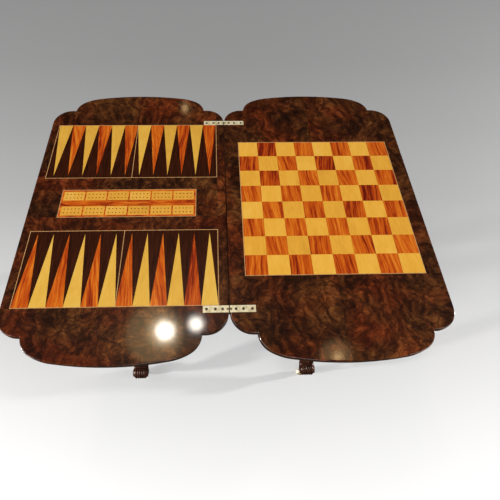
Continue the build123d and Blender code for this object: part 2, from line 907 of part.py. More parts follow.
# Pincushion: an oblong cushion with drawn-in corners and a crowned top
cushion_x = bay_edge - cushion_gap
cushion_y = (tray_line - drawer_inner_front) / 2 - cushion_gap
cushion_middle = (drawer_inner_front + tray_line) / 2
with BuildPart() as pincushion:
    with BuildSketch(Plane.XY.offset(tray_floor + cushion_gap)):
        with Locations((0, cushion_middle)):
            RectangleRounded(cushion_x * 2, cushion_y * 2, cushion_corner)
    with BuildSketch(Plane.XY.offset(tray_floor + cushion_height / 2)):
        with Locations((0, cushion_middle)):
            RectangleRounded(cushion_x * 2, cushion_y * 2, cushion_corner)
    loft(ruled=True)
    with BuildSketch(Plane.XY.offset(tray_floor + cushion_height / 2)):
        with Locations((0, cushion_middle)):
            RectangleRounded(cushion_x * 2, cushion_y * 2, cushion_corner)
    extrude(amount=cushion_height / 2, taper=45)
save(pincushion.part, "pincushion")


def knob(radius, reach, x, y, z):
    """A turned knob that faces the player, with its seat on the face at y."""
    with Locations(Location((x, y, z), (90, 0, 0))):
        add(turned(knob_shares, radius, reach))


drawer_front_middle = (drawer_floor + dustboard_bottom) / 2
with BuildPart() as drawer_knobs:
    for side in (1, -1):
        knob(
            knob_radius,
            knob_reach,
            side * drawer_knob_share * carcass_length,
            front_face,
            drawer_front_middle,
        )
save(drawer_knobs.part, "drawer_knobs")

# Work well: a sliding frame with a tapered box under it
frame_top = carcass_bottom - well_slide_clearance
frame_bottom = frame_top - well_frame_height
frame_front = front_face + well_setback
frame_back = frame_front + well_frame_depth
well_y = (frame_front + frame_back) / 2
half_frame = well_frame_length / 2
tongue_middle = (frame_top + frame_bottom) / 2
rail_reach = half_frame - well_rail_width
with BuildPart() as well_frame:
    for front in (frame_front, frame_back - well_rail_width):
        block(
            (-rail_reach, rail_reach),
            (front, front + well_rail_width),
            (frame_bottom, frame_top),
        )
    for side in (1, -1):
        ends = sorted((side * half_frame, side * rail_reach))
        block(ends, (frame_front, frame_back), (frame_bottom, frame_top))
        ends = sorted((side * half_frame, side * (half_frame + well_tongue)))
        block(
            ends,
            (frame_front + well_rail_width, frame_back),
            (tongue_middle - well_tongue_height / 2, tongue_middle + well_tongue_height / 2),
        )
save(well_frame.part, "well_frame")

runner_inner = half_frame + well_slide_clearance
with BuildPart() as well_runners:
    for side in (1, -1):
        ends = sorted((side * runner_inner, side * (runner_inner + well_runner_width)))
        block(
            ends,
            (inner_front, inner_back),
            (carcass_bottom - well_runner_height, carcass_bottom),
        )
    groove_half = well_tongue_height / 2 + well_slide_clearance
    groove_reach = runner_inner + well_tongue + well_slide_clearance
    with BuildPart(mode=Mode.PRIVATE) as grooves:
        block(
            (-groove_reach, groove_reach),
            (inner_front - overrun, inner_back + overrun),
            (tongue_middle - groove_half, tongue_middle + groove_half),
        )
    add(grooves.part, mode=Mode.SUBTRACT)
save(well_runners.part, "well_runners")

well_bottom_level = frame_bottom - well_depth


def tapered(inset, top, bottom):
    """The well's taper between two levels, inset all round by the same amount."""

    def size_at(level):
        share = (frame_bottom - level) / well_depth
        return (
            well_top_length + (well_foot_length - well_top_length) * share - 2 * inset,
            well_top_depth + (well_foot_depth - well_top_depth) * share - 2 * inset,
        )

    with BuildPart() as piece:
        for level in (bottom, top):
            with BuildSketch(Plane.XY.offset(level)):
                with Locations((0, well_y)):
                    Rectangle(*size_at(level))
        loft()
    return piece.part


with BuildPart() as well_shell:
    add(tapered(0, frame_bottom, well_bottom_level))
    add(tapered(well_wall, frame_bottom, well_bottom_level), mode=Mode.SUBTRACT)

inner_top = well_top_depth / 2 - well_wall
lean = (well_top_depth - well_foot_depth) / 2
with BuildPart() as well_walls:
    for side in (1, -1):
        face = Plane(
            origin=(0, well_y + side * inner_top, frame_bottom),
            x_dir=(1, 0, 0),
            z_dir=(0, side * well_depth, -lean),
        )
        with BuildPart(mode=Mode.PRIVATE) as wall:
            add(well_shell.part)
            split(bisect_by=face, keep=Keep.TOP)
        add(wall.part)
save(well_walls.part, "well_walls")

with BuildPart() as well_ends:
    add(well_shell.part)
    add(well_walls.part, mode=Mode.SUBTRACT)
save(well_ends.part, "well_ends")

with BuildPart() as well_base:
    with BuildSketch(Plane.XY.offset(well_bottom_level - well_base_thickness)):
        with Locations((0, well_y)):
            Rectangle(
                well_foot_length + 2 * well_base_reach, well_foot_depth + 2 * well_base_reach
            )
    extrude(amount=well_base_thickness)
    fillet(well_base.faces().sort_by(Axis.Z)[0].edges(), well_base_round)
    fillet(well_base.faces().sort_by(Axis.Z)[-1].edges(), well_base_round)
save(well_base.part, "well_base")

with BuildPart() as well_lining:
    lining_floor = well_bottom_level + lining_thickness
    add(tapered(well_wall + cushion_gap / 2, frame_bottom - lining_thickness, well_bottom_level))
    add(
        tapered(
            well_wall + cushion_gap / 2 + lining_thickness,
            frame_bottom - lining_thickness,
            lining_floor,
        ),
        mode=Mode.SUBTRACT,
    )
save(well_lining.part, "well_lining")

drop_place = (0, well_y, well_bottom_level - well_base_thickness)
with BuildPart() as well_drop:
    with Locations(Location(drop_place, (180, 0, 0))):
        add(turned(drop_shares, finial_radius, finial_height / 2))
save(well_drop.part, "well_drop")

with BuildPart() as well_knobs:
    for side in (1, -1):
        knob(
            small_knob_radius,
            small_knob_reach,
            side * well_knob_share * well_frame_length,
            frame_front,
            tongue_middle,
        )
save(well_knobs.part, "well_knobs")

# End supports: bearers under the carcass, twin columns, and a trestle for each pair of legs
bearer_bottom = carcass_bottom - bearer_height
with BuildPart() as bearers:
    with BuildSketch(Plane.XY.offset(bearer_bottom)):
        with Locations((support_place, 0), (-support_place, 0)):
            RectangleRounded(bearer_width, bearer_length, bearer_round)
    extrude(amount=bearer_height)
    chamfer(bearers.faces().group_by(Axis.Z)[0].edges(), bearer_round / 2)
save(bearers.part, "bearers")

with BuildPart() as columns:
    with Locations(
        *[
            (i * support_place, j * column_place, trestle_top)
            for i in (1, -1)
            for j in (1, -1)
        ]
    ):
        add(turned(column_shares, column_radius, column_length))
save(columns.part, "columns")

with BuildPart() as trestles:
    with BuildSketch(Plane.XY.offset(trestle_bottom)):
        with Locations((support_place, 0), (-support_place, 0)):
            Rectangle(trestle_width, trestle_length)
    extrude(amount=trestle_height)
    fillet(trestles.edges().filter_by(Axis.Y), trestle_round)
save(trestles.part, "trestles")

leg_root = trestle_length / 2
leg_run = foot_reach - leg_root
leg_rise = trestle_top - castor_height
toe_middle = (foot_reach - toe_radius, castor_height + toe_radius)


def leg_point(share):
    return (leg_root + share[0] * leg_run, castor_height + share[1] * leg_rise)


def leg():
    """One leg, reaching along +Y from the trestle at +X: an S curve that ends in a scrolled toe."""
    upper = [leg_point(share) for share in leg_upper_shares]
    lower = [leg_point(share) for share in leg_lower_shares]
    toe_top = (toe_middle[0], toe_middle[1] + toe_radius)
    toe_bottom = (toe_middle[0], toe_middle[1] - toe_radius)
    section = Plane(
        origin=(support_place - leg_width / 2, 0, 0), x_dir=(0, 1, 0), z_dir=(1, 0, 0)
    )
    with BuildPart() as made:
        with BuildSketch(section):
            with BuildLine():
                Spline(*upper, toe_top, tangents=((1, 0.35), (1, 0.25)))
                ThreePointArc(toe_top, (foot_reach, toe_middle[1]), toe_bottom)
                Spline(toe_bottom, *reversed(lower), tangents=((-1, 0.1), (-1, 0.05)))
                Line(lower[0], upper[0])
            make_face()
        extrude(amount=leg_width)
        rounded = made.edges().filter_by(
            lambda edge: abs(edge.center().X - support_place) > leg_width / 2 - leg_round / 4
        )
        rounded = rounded.filter_by(lambda edge: edge.center().Y > leg_root + leg_round / 4)
        fillet(rounded, leg_round)
        with BuildSketch(Plane.XY.offset(castor_height)):
            with Locations((support_place, toe_middle[0])):
                Circle(toe_pad_radius)
        extrude(amount=toe_pad_height)
    return made.part


with BuildPart() as legs:
    add(leg())
    mirror(about=Plane.XZ)
    mirror(about=Plane.YZ)
save(legs.part, "legs")

stretcher_level = trestle_bottom + trestle_height * stretcher_height_share
stretcher_half = support_place - trestle_width / 2
with BuildPart() as stretcher:
    with Locations(Location((-stretcher_half, 0, stretcher_level), (0, 90, 0))):
        add(turned(stretcher_shares, stretcher_radius, stretcher_half * 2))
    with BuildSketch(Plane.XY.offset(stretcher_level + stretcher_radius - finial_seat)):
        Circle(finial_radius)
    extrude(amount=stretcher_radius, mode=Mode.SUBTRACT)
save(stretcher.part, "stretcher")

with BuildPart() as stretcher_finial:
    with Locations((0, 0, stretcher_level + stretcher_radius - finial_seat)):
        add(turned(finial_shares, finial_radius, finial_height))
save(stretcher_finial.part, "stretcher_finial")

# Castors: a plate and pintle under each toe, a swivelling fork, and a porcelain wheel
castor_places = [
    (i * support_place, j * toe_middle[0]) for i, j, turn in castor_turns.values()
]
boss_top = castor_height - castor_plate_thickness - fork_gap
boss_bottom = boss_top - fork_boss_height
head_top = boss_bottom - fork_gap
with BuildPart() as castor_plates:
    for radius, top, bottom in (
        (castor_plate_radius, castor_height, castor_height - castor_plate_thickness),
        (pintle_radius, castor_height - castor_plate_thickness, head_top),
        (pintle_head_radius, head_top, head_top - pintle_head_height),
    ):
        with BuildSketch(Plane.XY.offset(bottom)):
            with Locations(*castor_places):
                Circle(radius)
        extrude(amount=top - bottom)
save(castor_plates.part, "castor_plates")

cheek_inner = wheel_width / 2 + fork_gap
cheek_outer = cheek_inner + fork_cheek
for label, (i, j, turn) in castor_turns.items():
    centre = (i * support_place, j * toe_middle[0], 0)
    along = (cos(radians(turn)), sin(radians(turn)), 0)
    across = (sin(radians(turn)), -cos(radians(turn)), 0)
    upright = Plane(origin=centre, x_dir=along, z_dir=across)
    axle_spot = (castor_trail, wheel_radius)
    with BuildPart() as fork:
        with BuildSketch(Plane.XY.offset(boss_bottom)):
            with Locations(centre[:2]):
                Circle(fork_boss_radius)
        extrude(amount=fork_boss_height)
        for side in (1, -1):
            with BuildSketch(upright.offset(cheek_inner if side == 1 else -cheek_outer)):
                with BuildLine():
                    CenterArc((0, boss_bottom), fork_boss_radius * fork_cheek_share, 0, 360)
                    CenterArc(axle_spot, fork_axle_boss_radius, 0, 360)
                make_hull()
                with Locations(axle_spot):
                    Circle(axle_radius + running_clearance, mode=Mode.SUBTRACT)
                with Locations((0, boss_top + fork_boss_radius)):
                    Rectangle(fork_boss_radius * 4, fork_boss_radius * 2, mode=Mode.SUBTRACT)
            extrude(amount=fork_cheek)
        with BuildSketch(Plane.XY.offset(boss_bottom)):
            with Locations(centre[:2]):
                Circle(pintle_radius + running_clearance)
        extrude(amount=fork_boss_height, mode=Mode.SUBTRACT)
        with BuildSketch(upright.offset(-cheek_outer - axle_end)):
            with Locations(axle_spot):
                Circle(axle_radius)
        extrude(amount=2 * (cheek_outer + axle_end))
    save(fork.part, f"castor_fork_{label}")
    with BuildPart() as wheel:
        with BuildSketch(upright.offset(-wheel_width / 2)):
            with Locations(axle_spot):
                Circle(wheel_radius)
        extrude(amount=wheel_width)
        fillet(wheel.edges(), wheel_round)
        with BuildSketch(upright.offset(-wheel_width / 2)):
            with Locations(axle_spot):
                Circle(axle_radius + running_clearance)
        extrude(amount=wheel_width, mode=Mode.SUBTRACT)
    save(wheel.part, f"castor_wheel_{label}")
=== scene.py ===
from math import asin, cos, exp, pi, radians, sin, sqrt, tau

import bmesh
import bpy
from mathutils import Matrix, Vector
from mathutils.bvhtree import BVHTree


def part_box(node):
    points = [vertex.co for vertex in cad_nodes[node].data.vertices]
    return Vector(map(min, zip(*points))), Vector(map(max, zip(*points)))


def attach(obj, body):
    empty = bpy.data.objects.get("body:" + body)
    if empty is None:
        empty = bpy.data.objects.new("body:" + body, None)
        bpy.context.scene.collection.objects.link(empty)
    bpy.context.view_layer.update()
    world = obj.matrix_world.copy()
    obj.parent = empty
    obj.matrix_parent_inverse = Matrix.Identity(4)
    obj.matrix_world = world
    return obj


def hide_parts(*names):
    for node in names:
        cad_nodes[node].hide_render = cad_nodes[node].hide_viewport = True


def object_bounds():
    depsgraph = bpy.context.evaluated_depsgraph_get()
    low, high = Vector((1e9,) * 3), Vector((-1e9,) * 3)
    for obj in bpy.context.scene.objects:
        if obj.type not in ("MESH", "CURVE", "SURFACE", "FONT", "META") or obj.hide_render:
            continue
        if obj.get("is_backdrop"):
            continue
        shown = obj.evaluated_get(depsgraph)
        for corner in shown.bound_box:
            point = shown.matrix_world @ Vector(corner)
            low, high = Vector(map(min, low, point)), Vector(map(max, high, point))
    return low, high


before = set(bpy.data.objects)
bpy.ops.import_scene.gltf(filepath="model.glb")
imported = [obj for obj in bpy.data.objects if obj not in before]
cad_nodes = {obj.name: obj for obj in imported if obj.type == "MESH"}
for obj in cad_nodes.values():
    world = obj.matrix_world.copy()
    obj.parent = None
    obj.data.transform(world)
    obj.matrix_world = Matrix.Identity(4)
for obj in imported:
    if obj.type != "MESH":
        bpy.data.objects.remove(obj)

cad_low, cad_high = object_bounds()

# Camera
# The picture was taken by hand from in front of the table, well above it and a little left of
# its middle, so the top is seen steeply and the feet only just show under its front edge.
picture_side = 500
focal_pixels = 378.02
optical_middle = (226, 250)
sensor_width = 36.0
eye = Vector((-0.02444, -0.50700, 1.38280))
heading = radians(-3.137)
tilt = radians(29.883)
roll = radians(2.001)

camera_data = bpy.data.cameras.new("picture_camera")
camera_data.sensor_width = sensor_width
camera_data.lens = focal_pixels * sensor_width / picture_side
camera_data.shift_x = (picture_side / 2 - optical_middle[0]) / picture_side
camera_data.clip_start = 0.01
camera = bpy.data.objects.new("picture_camera", camera_data)
bpy.context.scene.collection.objects.link(camera)
camera_turn = (
    Matrix.Rotation(heading, 4, "Z") @ Matrix.Rotation(tilt, 4, "X") @ Matrix.Rotation(roll, 4, "Z")
)
camera.matrix_world = Matrix.Translation(eye) @ camera_turn
bpy.context.scene.camera = camera

# Studio
# A seamless pale sheet lies under the table, falls off to grey behind it and meets the backdrop
# far out. Large soft lamps light the sides and the front, two small low ones draw the long shadows
# of the legs, and small ones overhead give the glints and the haze round them on the polish.
table_top = cad_high.z
bpy.context.scene.view_settings.view_transform = "Standard"


class Finish:
    """One finish, built node by node round a Principled shader, on Object coordinates."""

    def __init__(self, name, constants):
        self.material = bpy.data.materials.new(name)
        self.material.use_nodes = True
        self.tree = self.material.node_tree
        self.shader = self.tree.nodes["Principled BSDF"]
        for socket, value in constants.items():
            self.shader.inputs[socket].default_value = value
        coordinates = self.tree.nodes.new("ShaderNodeTexCoord")
        self.place = coordinates.outputs["Object"]

    def plug(self, socket, value):
        """Links the socket to another one, or sets it to a plain value."""
        if isinstance(value, bpy.types.NodeSocket):
            self.tree.links.new(value, socket)
        else:
            socket.default_value = value

    def paint(self, value, socket="Base Color"):
        self.plug(self.shader.inputs[socket], value)

    def add(self, kind, sockets=None, **settings):
        """A shader node with its settings made and its sockets filled."""
        node = self.tree.nodes.new("ShaderNode" + kind)
        for name, value in settings.items():
            setattr(node, name, value)
        for name, value in (sockets or {}).items():
            self.plug(node.inputs[name], value)
        return node

    def math(self, operation, first, second=0.0):
        return self.add("Math", {0: first, 1: second}, operation=operation).outputs[0]

    def vector(self, operation, first, second=(0.0, 0.0, 0.0)):
        return self.add("VectorMath", {0: first, 1: second}, operation=operation).outputs[0]

    def stretched(self, place, scale):
        """Coordinates scaled along each axis: a scale under 1 draws a pattern out that way."""
        return self.vector("MULTIPLY", place, scale)

    def parts(self, vector):
        return self.add("SeparateXYZ", {0: vector}).outputs

    def weighted(self, *patterns):
        """The sum of several patterns, each times its own share."""
        total = None
        for pattern, share in patterns:
            part = self.math("MULTIPLY", pattern, share)
            total = part if total is None else self.math("ADD", total, part)
        return total

    def noise(self, place, scale, detail=2.0, roughness=0.5, distortion=0.0, output=0):
        sockets = {
            "Vector": place,
            "Scale": scale,
            "Detail": detail,
            "Roughness": roughness,
            "Distortion": distortion,
        }
        return self.add("TexNoise", sockets).outputs[output]

    def drift(self, place, reach, scale, detail, roughness=0.5):
        """A slow wandering, up to half of reach each way, that bends a straight pattern."""
        cloud = self.noise(place, scale=scale, detail=detail, roughness=roughness, output=1)
        centred = self.vector("SUBTRACT", cloud, (0.5, 0.5, 0.5))
        return self.vector("MULTIPLY", centred, reach)

    def ramp(self, factor, *stops):
        """A colour ramp with a (position, colour) pair for each stop."""
        node = self.add("ValToRGB", {0: factor})
        elements = node.color_ramp.elements
        elements.remove(elements[1])
        elements[0].position, elements[0].color = stops[0][0], (*stops[0][1], 1.0)
        for position, colour in stops[1:]:
            elements.new(position).color = (*colour, 1.0)
        return node.outputs[0]

    def mix(self, factor, first, second, blend_type="MIX"):
        """A blend of two colours, which are the sockets 6 and 7 of the node."""
        node = self.add("Mix", data_type="RGBA", blend_type=blend_type)
        self.plug(node.inputs[0], factor)
        self.plug(node.inputs[6], first)
        self.plug(node.inputs[7], second)
        return node.outputs[2]

    def level(self, value, low, high, to_low=0.0, to_high=1.0):
        """The value's way from low to high, kept within to_low and to_high."""
        sockets = {0: value, 1: low, 2: high, 3: to_low, 4: to_high}
        return self.add("MapRange", sockets).outputs[0]

    def bump(self, height, distance, strength, target="Normal"):
        node = self.add("Bump", {"Height": height, "Distance": distance, "Strength": strength})
        self.paint(node.outputs[0], target)


def scene_object(name, data):
    made = bpy.data.objects.new(name, data)
    bpy.context.scene.collection.objects.link(made)
    return made


floor_reach = 60.0
floor_mesh = bpy.data.meshes.new("floor")
floor_mesh.from_pydata(
    [(-floor_reach, -floor_reach, 0), (floor_reach, -floor_reach, 0),
     (floor_reach, floor_reach, 0), (-floor_reach, floor_reach, 0)],
    [],
    [(0, 1, 2, 3)],
)
floor = scene_object("floor", floor_mesh)
paper = Finish("studio_paper", {"Roughness": 0.9, "Specular IOR Level": 0.1})
paper_near, paper_far = -0.70, 2.30
fall_off = paper.ramp(
    paper.level(paper.parts(paper.place)["Y"], paper_near, paper_far),
    (0.00, (0.84, 0.84, 0.84)),
    (0.13, (0.680, 0.683, 0.689)),
    (0.25, (0.545, 0.548, 0.554)),
    (0.42, (0.388, 0.390, 0.394)),
    (0.57, (0.331, 0.333, 0.337)),
    (0.76, (0.305, 0.306, 0.309)),
    (1.00, (0.318, 0.319, 0.322)),
)
# The paper glows a little towards the camera, which thins the shadows as a bright studio does,
# and the polish mirrors it darker, as it mirrored the room
glow_share = 0.30
mirrored_paper = (0.045, 0.028, 0.017, 1.0)
rays = paper.add("LightPath").outputs
paper.paint(paper.mix(rays["Is Glossy Ray"], fall_off, mirrored_paper))
glow = paper.add("Emission", {"Color": fall_off, "Strength": 1.0}).outputs[0]
glow_seen = paper.math("MULTIPLY", rays["Is Camera Ray"], glow_share)
lit = paper.add("MixShader", {0: glow_seen, 1: paper.shader.outputs[0], 2: glow}).outputs[0]
# Far out it blends into the backdrop, so that no edge shows between them
air_level = 0.375
blend_starts, blend_ends = 3.2, 9.0
away = paper.add("VectorMath", {0: paper.place}, operation="LENGTH").outputs["Value"]
blend_share = paper.math("MULTIPLY", paper.level(away, blend_starts, blend_ends), rays["Is Camera Ray"])
backdrop = paper.add("Emission", {"Color": (1.0, 1.0, 1.0, 1.0), "Strength": air_level}).outputs[0]
blended = paper.add("MixShader", {0: blend_share, 1: lit, 2: backdrop}).outputs[0]
# Seen from below, the paper lets the table show
below = paper.add("NewGeometry").outputs["Backfacing"]
clear = paper.add("BsdfTransparent").outputs[0]
one_sided = paper.add("MixShader", {0: below, 1: blended, 2: clear}).outputs[0]
paper.plug(paper.tree.nodes["Material Output"].inputs["Surface"], one_sided)
floor_mesh.materials.append(paper.material)
floor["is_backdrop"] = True

world = bpy.data.worlds.new("studio_air")
bpy.context.scene.world = world
world.use_nodes = True
air = world.node_tree.nodes["Background"]
air.inputs["Color"].default_value = (1.0, 1.0, 1.0, 1.0)
mirrored_air_level = 0.006
air_rays = world.node_tree.nodes.new("ShaderNodeLightPath")
air_strength = world.node_tree.nodes.new("ShaderNodeMapRange")
air_strength.inputs["To Min"].default_value = air_level
air_strength.inputs["To Max"].default_value = mirrored_air_level
world.node_tree.links.new(air_rays.outputs["Is Glossy Ray"], air_strength.inputs["Value"])
world.node_tree.links.new(air_strength.outputs[0], air.inputs["Strength"])


def lamp(name, place, target, size, power, colour=(1.0, 0.99, 0.97)):
    """A round area lamp at a place, turned to face its target."""
    data = bpy.data.lights.new(name, "AREA")
    data.shape = "DISK"
    data.size = size
    data.energy = power
    data.color = colour
    look = (Vector(target) - Vector(place)).to_track_quat("-Z", "Y")
    scene_object(name, data).matrix_world = Matrix.Translation(place) @ look.to_matrix().to_4x4()


middle_of_top = (0.0, 0.0, table_top)
front_of_floor = (0.0, -0.2, 0.0)
lamp("left_softbox", (-2.1, -0.7, 2.3), middle_of_top, size=1.3, power=23.0)
lamp("right_softbox", (2.1, -1.0, 2.4), middle_of_top, size=1.3, power=19.5)
lamp("front_softbox", (0.0, -2.6, 1.9), (0.0, 0.0, 0.4), size=1.5, power=20.0)
lamp("low_left_lamp", (-4.2, -0.85, 0.86), front_of_floor, size=0.20, power=290.0)
lamp("low_right_lamp", (4.2, 0.30, 0.86), front_of_floor, size=0.20, power=230.0)


def glint(name, pixel, size, shine, colour):
    """A small lamp placed so that the flat polish mirrors it at this pixel of the picture."""
    across = (pixel[0] - optical_middle[0]) / focal_pixels
    up = (optical_middle[1] - pixel[1]) / focal_pixels
    ray = camera_turn.to_3x3() @ Vector((across, up, -1.0))
    spot = eye + ray * ((table_top - eye.z) / ray.z)
    mirrored = Vector((ray.x, ray.y, -ray.z)).normalized()
    lamp_distance = 2.2
    area = pi * (size / 2) ** 2
    lamp(name, spot + mirrored * lamp_distance, spot, size=size, power=shine * pi * area, colour=colour)


white_flame, warm_flame = (1.0, 0.95, 0.84), (1.0, 0.66, 0.30)
near_left_pixel, near_left_halo_pixel, near_left_haze_pixel = (165, 331), (162, 332), (155, 334)
near_joint_pixel, far_left_pixel = (196, 324), (185, 108)
near_right_pixel, near_right_haze_pixel = (338, 357), (336, 356)
glint("glint_near_left", near_left_pixel, size=0.130, shine=52.0, colour=white_flame)
glint("halo_near_left", near_left_halo_pixel, size=0.22, shine=6.0, colour=warm_flame)
glint("haze_near_left", near_left_haze_pixel, size=0.42, shine=2.6, colour=warm_flame)
glint("glint_near_joint", near_joint_pixel, size=0.095, shine=48.0, colour=white_flame)
glint("glint_far_left", far_left_pixel, size=0.050, shine=9.0, colour=warm_flame)
glint("glint_near_right", near_right_pixel, size=0.055, shine=16.0, colour=warm_flame)
glint("haze_near_right", near_right_haze_pixel, size=0.220, shine=2.2, colour=warm_flame)

# Leaves
# Two boards veneered with burr walnut, each end and side laid as a sheet of its own, French
# polished to a gloss. The edges are worked round, and painted shade darkens them.
polish = {
    "Roughness": 0.34,
    "Coat Weight": 1.0,
    "Coat Roughness": 0.07,
    "Coat IOR": 1.48,
    "Specular IOR Level": 0.12,
}
chess_low, chess_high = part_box("chess_stringing")
chess_middle_x = (chess_low.x + chess_high.x) / 2
board_half = (chess_high.x - chess_low.x) / 2
panel_low, panel_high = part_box("flap_stringing")
crib_low, crib_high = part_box("cribbage_frame")
# Heights of the painted shade on the rounded edges of the leaves
edge_shade_top, edge_shade_foot = table_top - 0.0006, table_top - 0.0035
board_face_foot, underside_top = table_top - 0.0172, table_top - 0.0179


def ripple(finish):
    """The faint unevenness of hand polish, which breaks up the edge of a glint."""
    height = finish.noise(finish.place, scale=520.0, detail=2.0, roughness=0.6)
    finish.bump(height, distance=0.0004, strength=0.035, target="Coat Normal")


def burr(name, sheets):
    """Burr walnut: clouded, with swirls of fine lines and patches of small dark eyes. Each of the
    sheets starts past an edge on its axis, and takes its figure from a place of its own."""
    finish = Finish(name, polish)
    parts = finish.parts(finish.place)
    shift = 0.0
    for axis, edge, jump in sheets:
        past = finish.math("GREATER_THAN", parts[axis], edge)
        shift = finish.math("ADD", finish.math("MULTIPLY", past, jump), shift)
    jumps = finish.add("CombineXYZ", {"Z": shift, "X": finish.math("MULTIPLY", shift, 0.37)})
    sheet = finish.vector("ADD", finish.place, jumps.outputs[0])
    bend = finish.drift(sheet, reach=(0.11, 0.11, 0.11), scale=7.0, detail=3.0, roughness=0.55)
    warped = finish.vector("ADD", sheet, bend)
    clouds = finish.noise(warped, scale=15.0, detail=5.0, roughness=0.60, distortion=0.9)
    mottle = finish.noise(warped, scale=70.0, detail=4.0, roughness=0.62, distortion=1.2)
    fibre_place = finish.stretched(warped, (1.0, 2.6, 1.0))
    fibres = finish.noise(fibre_place, scale=250.0, detail=4.0, roughness=0.68, distortion=2.4)
    wave_sockets = {
        "Vector": warped,
        "Scale": 13.0,
        "Distortion": 9.0,
        "Detail": 4.0,
        "Detail Scale": 2.2,
        "Detail Roughness": 0.62,
    }
    waves = finish.add("TexWave", wave_sockets).outputs[1]
    colour = finish.ramp(
        finish.weighted((clouds, 0.44), (mottle, 0.34), (fibres, 0.32), (waves, 0.07)),
        (0.44, (0.0100, 0.0030, 0.0016)),
        (0.53, (0.0310, 0.0088, 0.0028)),
        (0.59, (0.0640, 0.0185, 0.0046)),
        (0.65, (0.1120, 0.0350, 0.0080)),
        (0.74, (0.2100, 0.0760, 0.0180)),
    )
    redder = finish.level(finish.noise(sheet, scale=8.0, detail=2.0), 0.44, 0.62)
    colour = finish.mix(redder, colour, (1.25, 0.72, 0.60, 1.0), "MULTIPLY")
    eyes = finish.add("TexVoronoi", {"Vector": warped, "Scale": 190.0, "Randomness": 1.0}).outputs[0]
    eye_dots = finish.level(eyes, 0.34, 0.14)
    eye_patches = finish.level(finish.noise(sheet, scale=15.0, detail=3.0, roughness=0.6), 0.48, 0.56)
    eye_depth = finish.math("MULTIPLY", finish.math("MULTIPLY", eye_dots, eye_patches), 0.80)
    colour = finish.mix(eye_depth, colour, (0.0080, 0.0024, 0.0014, 1.0))
    flow = finish.noise(warped, scale=9.0, detail=2.0, distortion=2.5)
    vein = finish.level(finish.math("ABSOLUTE", finish.math("SUBTRACT", flow, 0.5)), 0.045, 0.0)
    colour = finish.mix(finish.math("MULTIPLY", vein, 0.62), colour, (0.0110, 0.0036, 0.0020, 1.0))
    # Painted shade: the rounded edges below the top face are painted near black
    face_share = finish.level(parts["Z"], edge_shade_foot, edge_shade_top)
    colour = finish.mix(face_share, (0.0090, 0.0030, 0.0018, 1.0), colour)
    plain_place = finish.stretched(finish.place, (1.0, 0.06, 1.0))
    plain_grain = finish.noise(plain_place, scale=90.0, detail=4.0, roughness=0.6)
    plain = finish.ramp(plain_grain, (0.35, (0.040, 0.017, 0.008)), (0.65, (0.110, 0.052, 0.024)))
    underside_share = finish.level(parts["Z"], board_face_foot, underside_top)
    finish.paint(finish.mix(underside_share, colour, plain))
    ripple(finish)
    return finish.material


def coat_node(material, *names):
    """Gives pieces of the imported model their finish."""
    for name in names:
        for material_slot in cad_nodes[name].material_slots:
            material_slot.material = material


chess_sheets = [("Y", board_half, 7.3), ("Y", -board_half, 3.1), ("X", chess_middle_x, 5.7)]
coat_node(burr("burr_walnut_chess", chess_sheets), "chess_leaf")
backgammon_sheets = [
    ("Y", panel_high.y, 4.3),
    ("Y", crib_high.y, 2.9),
    ("Y", crib_low.y, 6.1),
    ("Y", panel_low.y, 3.7),
    ("X", panel_high.x, 5.3),
]
coat_node(burr("burr_walnut_backgammon", backgammon_sheets), "backgammon_leaf")

# Marquetry
# Squares and points of golden satinwood and pale streaked rosewood, sawn from one veneer each, so
# every piece shows its own figure. Thin boxwood lines frame them on an ebonised ground.
ground_low, ground_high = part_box("backgammon_ground")
squares_a_side, points_a_row, peg_plates_a_row = 8, 12, 6
square = 2 * board_half / squares_a_side
chess_origin = (chess_middle_x - board_half, -board_half, -0.5)
chess_cell = (square, square, 1.0)
point_origin = (ground_low.x, -1.0, -0.5)
point_cell = ((ground_high.x - ground_low.x) / points_a_row, 1.0, 1.0)
peg_plate_origin = (crib_low.x, -0.9, -0.5)
peg_plate_cell = ((crib_high.x - crib_low.x) / peg_plates_a_row, 0.03, 1.0)
border_origin, border_cell = (-7.0, -2.0, -2.0), (5.0, 5.0, 5.0)
# Heights of the painted shade inside the peg holes
peg_hole_shade_top, peg_hole_shade_foot = table_top - 0.0001, table_top - 0.0005


def own_figure(finish, cell, origin, lean):
    """Coordinates that differ from piece to piece, and a random value for each piece. The pieces
    lie in cells from the origin on, and lean holds how far their grain may turn."""
    steps = finish.vector("SUBTRACT", finish.place, origin)
    steps = finish.vector("FLOOR", finish.vector("DIVIDE", steps, cell))
    chance = finish.add("TexWhiteNoise", {"Vector": steps}, noise_dimensions="3D").outputs
    angle = finish.math("MULTIPLY", finish.math("SUBTRACT", chance[0], 0.5), lean)
    rotation = {"Vector": finish.place, "Angle": angle}
    turned = finish.add("VectorRotate", rotation, rotation_type="Z_AXIS").outputs[0]
    jump = finish.vector("MULTIPLY", chance[1], (3.0, 3.0, 3.0))
    return finish.vector("ADD", turned, jump), chance[0]


